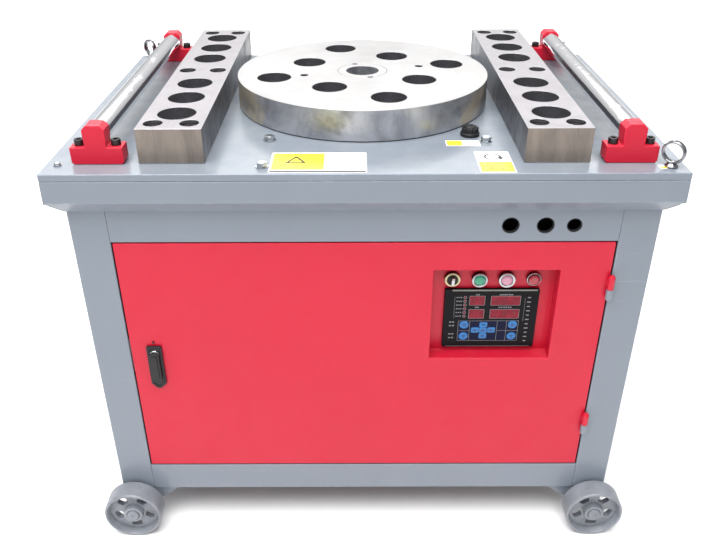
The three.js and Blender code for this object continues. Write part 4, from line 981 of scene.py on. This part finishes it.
def build_belt():
    belt, big, small = Box("drive_belt"), Box("driven_pulley"), Box("motor_pulley")
    a, b = Vector((big.x, big.y)), Vector((small.x, small.y))
    span = a - b
    bearing = math.atan2(span.y, span.x)
    wrap = math.acos((SMALL_PULLEY_R - BIG_PULLEY_R) / span.length)
    back, foot = BELT_BACK, BELT_BACK - BELT_T
    section = [(back, -BELT_W / 2), (back, BELT_W / 2), (foot, BELT_FOOT_W / 2), (foot, -BELT_FOOT_W / 2)]
    section = rounded(section, 1.2, True, 2)
    rings = []
    for centre, r, start, sweep, steps in ((a, BIG_PULLEY_R, bearing - wrap, 2 * wrap, 72),
                                           (b, SMALL_PULLEY_R, bearing + wrap, 2 * (math.pi - wrap), 48)):
        for i in range(steps + 1):
            angle = start + sweep * i / steps
            out = Vector((math.cos(angle), math.sin(angle)))
            rings.append([(*(centre + out * (r + x)), belt.z + y) for x, y in section])
    piece("rubber_belt", skin(rings, True), "machine", [rubber], ["drive_belt"])


def build_motor():
    box, shaft = Box("motor"), Box("motor_pulley")
    x, y = shaft.x, shaft.y
    flange_low, flange_high = box.z1 - 12, box.z1
    cowl_top = box.z0 + 60
    shape = rod(80, cowl_top - 6, flange_low - 20, 1, 72, 4)
    fin = brick(78, MOTOR_R, -1.3, 1.3, cowl_top + 3, flange_low - 3, 0.9)
    for bearing in range(0, 360, 9):
        if not 252 < bearing < 288:
            shape += fin.turned(bearing)
    bell = [(0, flange_low - 24), (86, flange_low - 24), (MOTOR_R, flange_low - 6), (99.6, flange_low),
            (99.6, flange_high), (15, flange_high), (15, flange_high - 30), (0, flange_high - 30)]
    shape += lathe(bell, 1.5)
    piece("motor_body", shape.moved(x, y), "machine", [motor_paint], ["motor"])
    cowl = [(0, box.z0), (70, box.z0), (84, box.z0 + 6), (87.8, box.z0 + 14), (87.8, cowl_top),
            (85.5, cowl_top), (85.5, cowl_top - 4), (0, cowl_top - 4)]
    guard = lathe(cowl, 2.5, 96, 4)
    # Black rings on the cowl's closed end stand for its air slots: painted shade.
    for r in range(18, 63, 11):
        ring = [(r - 2, box.z0), (r + 2, box.z0), (r + 2, box.z0 + 2), (r - 2, box.z0 + 2)]
        guard += lathe(ring, 0.5, 64, 4).painted(1)
    piece("motor_fan_cowl", guard.moved(x, y), "machine", [motor_paint, black])
    wide, tall, lid_top = 70, 90, 39.7
    shape = prism([rounded(rectangle(wide - 3, tall - 3), 5)], -11, 36.2, 1.0)
    shape += prism([rounded(rectangle(wide, tall), 6)], 36, lid_top, 1.0)
    for sx, sz in SIGNS:
        shape += round_screw(3, 0.3).moved(sx * 29, sz * 39, lid_top).painted(1)
    gland = lathe([(0, 0), (9, 0), (9, 8), (7, 14), (0, 14)], 1, 32, 4).turned(90, "Y").moved(33, 0, 18)
    shape = (shape + gland.painted(1)).facing().moved(x, box.y0 + lid_top, cowl_top + 20 + tall / 2)
    piece("motor_terminal_box", shape, "machine", [motor_paint, black])
    bolts = Shape()
    for bearing in (45, 135, 225, 315):
        bolt_x, bolt_y = polar(93, bearing)
        bolts += hex_bolt(13, 7, 6).turned(180, "X").moved(x + bolt_x, y + bolt_y, flange_low)
    piece("motor_bolts", bolts, "machine", [zinc])


# ---------------- door, hinges and lock
def build_door():
    polish("door", red, 1.0)
    polish("control_tray", red, 1.0)
    for height in ("upper", "lower"):
        sleeve, pin = Box("hinge_sleeve_" + height), Box("hinge_pin_" + height)
        joint = sleeve.z0 - TOUCH
        up, down = sleeve.z1 - joint, joint - pin.z0
        cup = [(0, up), (3.2, up), (5, up - 3.2), (5, TOUCH), (3.3, TOUCH), (3.3, up - 6), (0, up - 6)]
        peg = [(0, -down), (3.2, -down), (5, 3.2 - down), (5, -TOUCH), (3, -TOUCH), (3, up - 7), (0, up - 7)]
        cup = lathe(cup, 0.5, 40).moved(sleeve.x, sleeve.y, joint)
        peg = lathe(peg, 0.5, 40).moved(pin.x, pin.y, joint)
        door_bead = [(sleeve.x - 3.4, sleeve.y + 4.2, joint + 3 + (up - 8) * k / 6) for k in range(7)]
        post_bead = [(pin.x + 3.4, pin.y + 4.2, joint - 3 - (down - 7) * k / 6) for k in range(7)]
        piece("door_hinge_" + height, cup, "door", red, ["hinge_sleeve_" + height])
        piece("post_hinge_" + height, peg, "machine", grey, ["hinge_pin_" + height])
        piece("door_hinge_weld_" + height, swept(door_bead, 2.0), "door", [red[0]])
        piece("post_hinge_weld_" + height, swept(post_bead, 2.0), "machine", [grey[0]])
    build_seal_strips_and_gap_shade()
    build_lock()


def build_seal_strips_and_gap_shade():
    """Rubber strips that the door's side flanges close against, with a gap where the lock's cam swings; their
    black also stands as painted shade in the door gap.
    """
    post = Box("corner_post_front_left")
    low, high = Box("front_bottom_rail").z1 - 20, Box("front_top_rail").z0 - 0.3
    shape = Shape()
    for side, z0, z1 in ((-1, low, 308), (-1, 374, high), (1, low, high)):
        edge = side * -post.x1
        for near, y0 in ((1.5, post.y0 + 5.3), (-7.5, door.y1 + 1.0)):
            x0, x1 = sorted((edge + side * near, edge + side * 4.5))
            shape += brick(x0, x1, y0, door.y1 + 3.4, z0, z1, 0.4)
    piece("seal_strips_and_gap_shade", shape, "machine", [rubber])


def build_lock():
    box, barrel, handle = Box("lock_housing"), Box("lock_barrel"), Box("lock_handle")
    barrel_z = box.z1 - LOCK_DROP

    def shield(tip, half, shoulder, foot, high):
        return [(-half, shoulder), (-tip, foot), (tip, foot), (half, shoulder), (half, high), (-half, high)]

    half, low = box.w / 2, -box.h
    outline = rounded(shield(3, half, low + 9, low, 0), 2.0)
    shape = prism([outline, hole(7.6, 40, 0, -LOCK_DROP)], 0, box.d, 0.9)
    lip = [rounded(shield(1.8, half - 2.6, low + 10.6, low + 2.8, -2.6), 1.6),
           rounded(shield(1.2, half - 4.0, low + 11.4, low + 4.6, -4.0), 1.2)[::-1]]
    shape += prism(lip, box.d - 0.2, box.d + 0.9, 0.4)
    shape += rod(2.1, -4.5, 1.0, 0.4, 24, 2, 0.2).moved(0, low + 14, box.d)
    shape = shape.facing().moved(box.x, box.y1, box.z1)
    piece("lock_case", shape, "door", [black], ["lock_housing"])
    rivet = rod(1.7, 0, 2.2, 0.5, 24, 3, 0.3).facing().moved(box.x, door.y0, box.z1 + 6)
    piece("lock_pin", rivet, "door", [black])

    # The keyway is a thin black bar on the plug's face, painted shade where the slot would be.
    keyway_shade = brick(-0.7, 0.7, -2.6, 2.6, barrel.d - 0.4, barrel.d + 0.05, 0.02).painted(1)
    shape = rod(7, 0, barrel.d, 0.6) + keyway_shade + prism([rounded(rectangle(12, 54, 0, -21), 3)], 1, 4, 0.4, 2)
    shape = shape.facing().moved(box.x, barrel.y1, barrel_z)
    piece("lock_plug", shape, "lock_barrel", [chrome, black], ["lock_barrel"])

    w, low, front = handle.w / 2, -handle.h, handle.d
    grip = [(-w, 0), (-w, low + 7), (-w + 4, low), (w - 4, low), (w, low + 7), (w, 0)]
    ridge_w = w - 3.2
    ridge = [(-ridge_w, -3.5), (-ridge_w, low + 8.5), (ridge_w, low + 8.5), (ridge_w, -3.5)]
    shape = prism([rounded(grip, 2.2)], 0, front - 1.6, 1.2, 4)
    shape += prism([rounded(ridge, 1.6)], front - 2.6, front, 0.9)
    for i in range(4):
        z = low + 13 + 3.2 * i
        shape += brick(2 - w, w - 2, z, z + 1.2, front - 2.0, front - 0.9)
    shape = shape.facing().moved(handle.x, handle.y1, handle.z1)
    piece("lock_grip", shape, "lock_handle", [black], ["lock_handle"])


# ---------------- controls
def bezel(r_in, r_out, height):
    """A black barrel round a control, with a plated ring on its front."""
    barrel = [(r_in, -1.5), (r_out - 0.6, -1.5), (r_out - 0.6, height - 1.9), (r_in, height - 1.9)]
    ring = [(r_in, height - 2.2), (r_out - 0.3, height - 2.2), (r_out, height - 1.6),
            (r_out - 0.6, height - 0.5), (r_in + 1.2, height), (r_in, height - 0.8)]
    return lathe(barrel, 0.3, 72, 2).painted(1) + lathe(ring, 0.4, 72)


def build_controls():
    for name, body, glass, outer, high in (("green_button", "green_button", green_lens, 11.8, 9.2),
                                           ("red_button", "red_button", red_lens, 11.0, 6.6),
                                           ("white_lamp", "door", white_lens, 12.4, 9.2)):
        box = Box(name)
        front, back = recess_back - box.y0, recess_back - box.y1
        profile = [(0, back), (6.5, back), (6.5, front - 5), (BUTTON_R, front - 5), (BUTTON_R, front - 1.6),
                   (BUTTON_R - 2.4, front - 0.3), (0, front)]
        cap = lathe(profile, 0.7, 72, 4).facing().moved(box.x, recess_back, box.z)
        piece(name + "_cap", cap, body, [glass], [name])
        ring = bezel(BUTTON_R + 0.5, outer, high).facing().moved(box.x, recess_back, box.z)
        piece(name + "_bezel", ring, "door", [nickel, black])

    box = Box("key_switch")
    at = (box.x, recess_back, Box("green_button").z)
    piece("key_switch_bezel", bezel(7.6, 11.8, 7.4).facing().moved(*at), "door", [key_ring, black])
    back = recess_back - box.y1
    dial = lathe([(0, back), (7, back), (7, 6.1), (4.2, 6.5), (0, 6.5)], 0.5, 56)
    bow = rounded([(-6.4, 8.6), (6.4, 8.6), (6.4, 15), (-6.4, 15)], 2.8, True, 5)
    bow = prism([bow, hole(1.4, 24, 0, 12.6)], -2.2, 2.2, 0.7).turned(90, "X").turned(90)
    key = brick(-1.1, 1.1, -4.5, 4.5, 5.5, 9.5, 0.4) + bow
    shape = (dial.painted(1) + key.painted(2)).facing().turned(6, "Y").moved(*at)
    piece("key_and_dial", shape, "key_switch", [chrome, black, nickel], ["key_switch"])
    build_keypad()


# The keypad's face, in millimetres from its top left corner, with z down to minus its height.
PANEL, STRIP, WINDOW, PRINT, KEY, FIELD, MARK, UNLIT = range(8)
WINDOW_H = 15.4
WINDOWS = ((48.6, -19.6, 22, 2), (90.8, -19.8, 42.8, 3), (48.9, -43, 22, 2), (90.8, -43, 42.8, 3))
GRID_X = (23, 40.4, 81.6, 95.7, 113.4)
GRID_Z = (-91.4, -73.4, -55.6)
ROUND_KEYS = [(x, z) for x in (32, 104.8) for z in (-62.4, -83.2)]
CROSS_AT = (61, -72.6)
CROSS_KEYS = ((0, 10), (0, 0), (0, -10), (-12.3, 0.6), (12.3, 0.6))
LAMP_X = 30.7


def build_keypad():
    box = Box("control_panel")
    at = (box.x0, box.y1, box.z1)
    body = prism([rounded(rectangle(box.w, box.h, box.w / 2, -box.h / 2), 2.5)], 0, box.d - 0.4, 0.8)
    piece("keypad_case", body.facing().moved(*at), "door", [gloss_black], ["control_panel"])
    face = box.d - 0.45

    def tile(x, z, w, h, corner, number=PRINT, thick=0.15, edge=0.03, lift=0.0):
        outline = rounded(rectangle(w, h, x, z), corner)
        return prism([outline], face + lift, face + lift + thick, edge, 2).painted(number)

    def pair(x, z, apart, w, h, corner):
        return tile(x - apart, z, w, h, corner) + tile(x + apart, z, w, h, corner)

    shape = tile(box.w / 2 + 4, -1.8, box.w - 14, 2.6, 0.5, STRIP, 0.2, 0.05)
    shape += tile(box.w / 2, 1.8 - box.h, box.w - 12, 0.6, 0.2)
    for x, z, w, digits in WINDOWS:
        shape += tile(x, z, w + 1.2, WINDOW_H + 1.2, 0.8, PRINT, 0.2, 0.05)
        shape += tile(x, z, w, WINDOW_H, 0.6, WINDOW, 0.35, 0.1)
        for k in range(digits):
            shape += segments(x + w / digits * (k - (digits - 1) / 2), z, face + 0.3)

    left, right = GRID_X[0], GRID_X[-1]
    low, middle, high = GRID_Z
    for x0, x1 in zip(GRID_X, GRID_X[1:]):
        x, w = (x0 + x1) / 2, x1 - x0
        halved = w < 30
        for z0, z1 in ((low, middle), (middle, high)) if halved else ((low, high),):
            shape += tile(x, (z0 + z1) / 2, w - 0.7, z1 - z0 - 0.7, 0.2, FIELD, 0.1)
        if halved:
            shape += tile(x, middle, w - 0.6, 0.5, 0.1, PRINT, 0.14)
    for z in (high, low):
        shape += tile((left + right) / 2, z, right - left, 0.5, 0.1)
    for x in GRID_X:
        shape += tile(x, (low + high) / 2, 0.5, high - low - 0.6, 0.1, PRINT, 0.14)
    for x, z0, z1 in ((15.4, -50, -13), (119.5, -56, -15)):
        shape += tile(x, (z0 + z1) / 2, 0.4, z1 - z0, 0.1, PRINT, 0.12)

    for z in [-14 - 6.6 * i for i in range(6)]:
        ring = prism([circle(2.5, 28, LAMP_X, z), hole(1.8, 28, LAMP_X, z)], face, face + 0.2, 0.05, 1)
        lamp = rod(1.6, 0, 0.3, sides=20, dome=0.05).moved(LAMP_X, z, face)
        shape += ring.painted(PRINT) + lamp.painted(WINDOW)
        for k in range(3):
            shape += tile(18.9 + 3.0 * k, z, 2.2, 1.8 - 0.4 * (k % 2), 0.3)
    for x in (48.8, 84, 90.8, 97.6):
        shape += pair(x, -9.4, 1.6, 2.4, 2.2, 0.3) + pair(x, -31.4, 1.6, 2.4, 2.0, 0.3)
    for i in range(11):
        shape += tile(125.4, -14.5 - 7.75 * i, 4.4 + 1.2 * (i % 2), 1.9, 0.4)
    for z in (-57.6, -64, -79.2, -86):
        shape += pair(13, z, 2.2, 3.2, 2.2, 0.4)

    dome = lathe([(0, 0), (6.9, 0), (6.9, 0.35), (5.6, 0.6), (0, 0.65)], 0.2, 48, 2).painted(KEY)
    for x, z in ROUND_KEYS:
        shape += dome.moved(x, z, face)
        shape += tile(x, z + 1.2, 5.4, 1.2, 0.4, MARK, 0.22, 0.03, 0.5)
        shape += tile(x, z - 1.6, 4.0, 1.2, 0.4, MARK, 0.22, 0.03, 0.5)
    for dx, dz in CROSS_KEYS:
        x, z = CROSS_AT[0] + dx, CROSS_AT[1] + dz
        shape += tile(x, z, 11.8, 9.6, 2.0, KEY, 0.6, 0.2)
        shape += tile(x, z, 5.0, 2.0, 0.6, MARK, 0.22, 0.03, 0.5)
    finishes = [gloss_black, olive_strip, window, dull_print, blue_key, navy, blue_mark, unlit]
    piece("keypad_face", shape.facing().moved(*at), "door", finishes)


def segments(x, z, low):
    """A seven-segment figure, unlit."""
    half, step, thin = 2.6, 4.3, 0.45
    high = low + 0.12
    shape = Shape()
    for dz in (-step, 0, step):
        shape += brick(x - half + 0.4, x + half - 0.4, z + dz - thin, z + dz + thin, low, high, 0.03)
    for sx, sz in SIGNS:
        at_x, at_z, long = x + sx * half, z + sz * step / 2, step / 2 - 0.5
        shape += brick(at_x - thin, at_x + thin, at_z - long, at_z + long, low, high, 0.03)
    return shape.painted(UNLIT)


# ---------------- camera, lights and floor
CAMERA_AT = (-13.2, -1218.9, 1051.5)
CAMERA_PITCH = 29.97  # degrees below the horizon
CAMERA_YAW = -0.04
CAMERA_ROLL = -0.19
CAMERA_LENS = 38.66
CAMERA_SHIFT = (0.0078, -0.0055)


def build_camera():
    data = bpy.data.cameras.new("camera")
    data.lens = CAMERA_LENS
    data.sensor_width = 36
    data.shift_x, data.shift_y = CAMERA_SHIFT
    camera = bpy.data.objects.new("camera", data)
    turn = rotation(-CAMERA_YAW, "Z") @ rotation(90 - CAMERA_PITCH, "X") @ rotation(CAMERA_ROLL, "Z")
    camera.matrix_world = Matrix.Translation(Vector(CAMERA_AT) * MM) @ turn
    bpy.context.scene.collection.objects.link(camera)
    bpy.context.scene.camera = camera


def softbox(name, at, aim, size, power):
    data = bpy.data.lights.new(name, "AREA")
    data.shape = "RECTANGLE"
    data.size, data.size_y = size
    data.energy = power
    lamp = bpy.data.objects.new(name, data)
    lamp.location = at
    lamp.rotation_euler = (Vector(aim) - Vector(at)).to_track_quat("-Z", "Y").to_euler()
    bpy.context.scene.collection.objects.link(lamp)


def colour_ramp(g, value, first, last):
    """Fades between two colours, each given with its place."""
    node = g.add("ShaderNodeValToRGB", {0: value})
    for stop, (position, colour) in zip(node.color_ramp.elements, (first, last)):
        stop.position = position
        stop.color = (*colour, 1)
    return node.outputs[0]


def build_world():
    """A white studio, a little darker near the horizon and at the sides."""
    world = bpy.data.worlds.new("studio")
    bpy.context.scene.world = world
    g = Graph(world, "Background")
    way = g.parts(g.add("ShaderNodeTexCoord").outputs["Generated"])
    rise = colour_ramp(g, way[2], (0.02, (0.58, 0.59, 0.61)), (0.30, (1, 1, 1)))
    sides = colour_ramp(g, g.math("ABSOLUTE", way[0]), (0.45, (1, 1, 1)), (0.95, (0.56, 0.57, 0.59)))
    product = g.add("ShaderNodeVectorMath", {0: rise, 1: sides}, operation="MULTIPLY").outputs[0]
    g.put(Color=product, Strength=0.84)


def build_studio():
    bpy.ops.mesh.primitive_plane_add(size=14, location=(0, 0, 0))
    floor = bpy.context.active_object
    floor.name = "floor"
    g = finish("pale_floor")
    tone = g.mix(g.noise(1.5, 3, 0.5), (0.93, 0.93, 0.935), (0.95, 0.95, 0.95))
    floor.data.materials.append(g.put(Base_Color=tone, Roughness=0.7))
    build_world()
    softbox("key", (-0.3, -0.95, 2.8), (0, -0.1, 0.6), (2.4, 2.2), 138)
    softbox("front", (-2.2, -2.2, 1.2), (0, 0, 0.35), (1.6, 1.2), 3)
    softbox("backdrop", (0, 4.4, 3.0), (0, 4.6, 0), (6, 2.4), 170)
    bpy.context.scene.view_settings.view_transform = "Standard"


build_camera()
build_cabinet()
build_disc()
build_blocks()
build_rollers()
build_table_fittings()
build_labels()
build_wheels()
build_drive()
build_door()
build_controls()
build_studio()

bpy.context.view_layer.update()
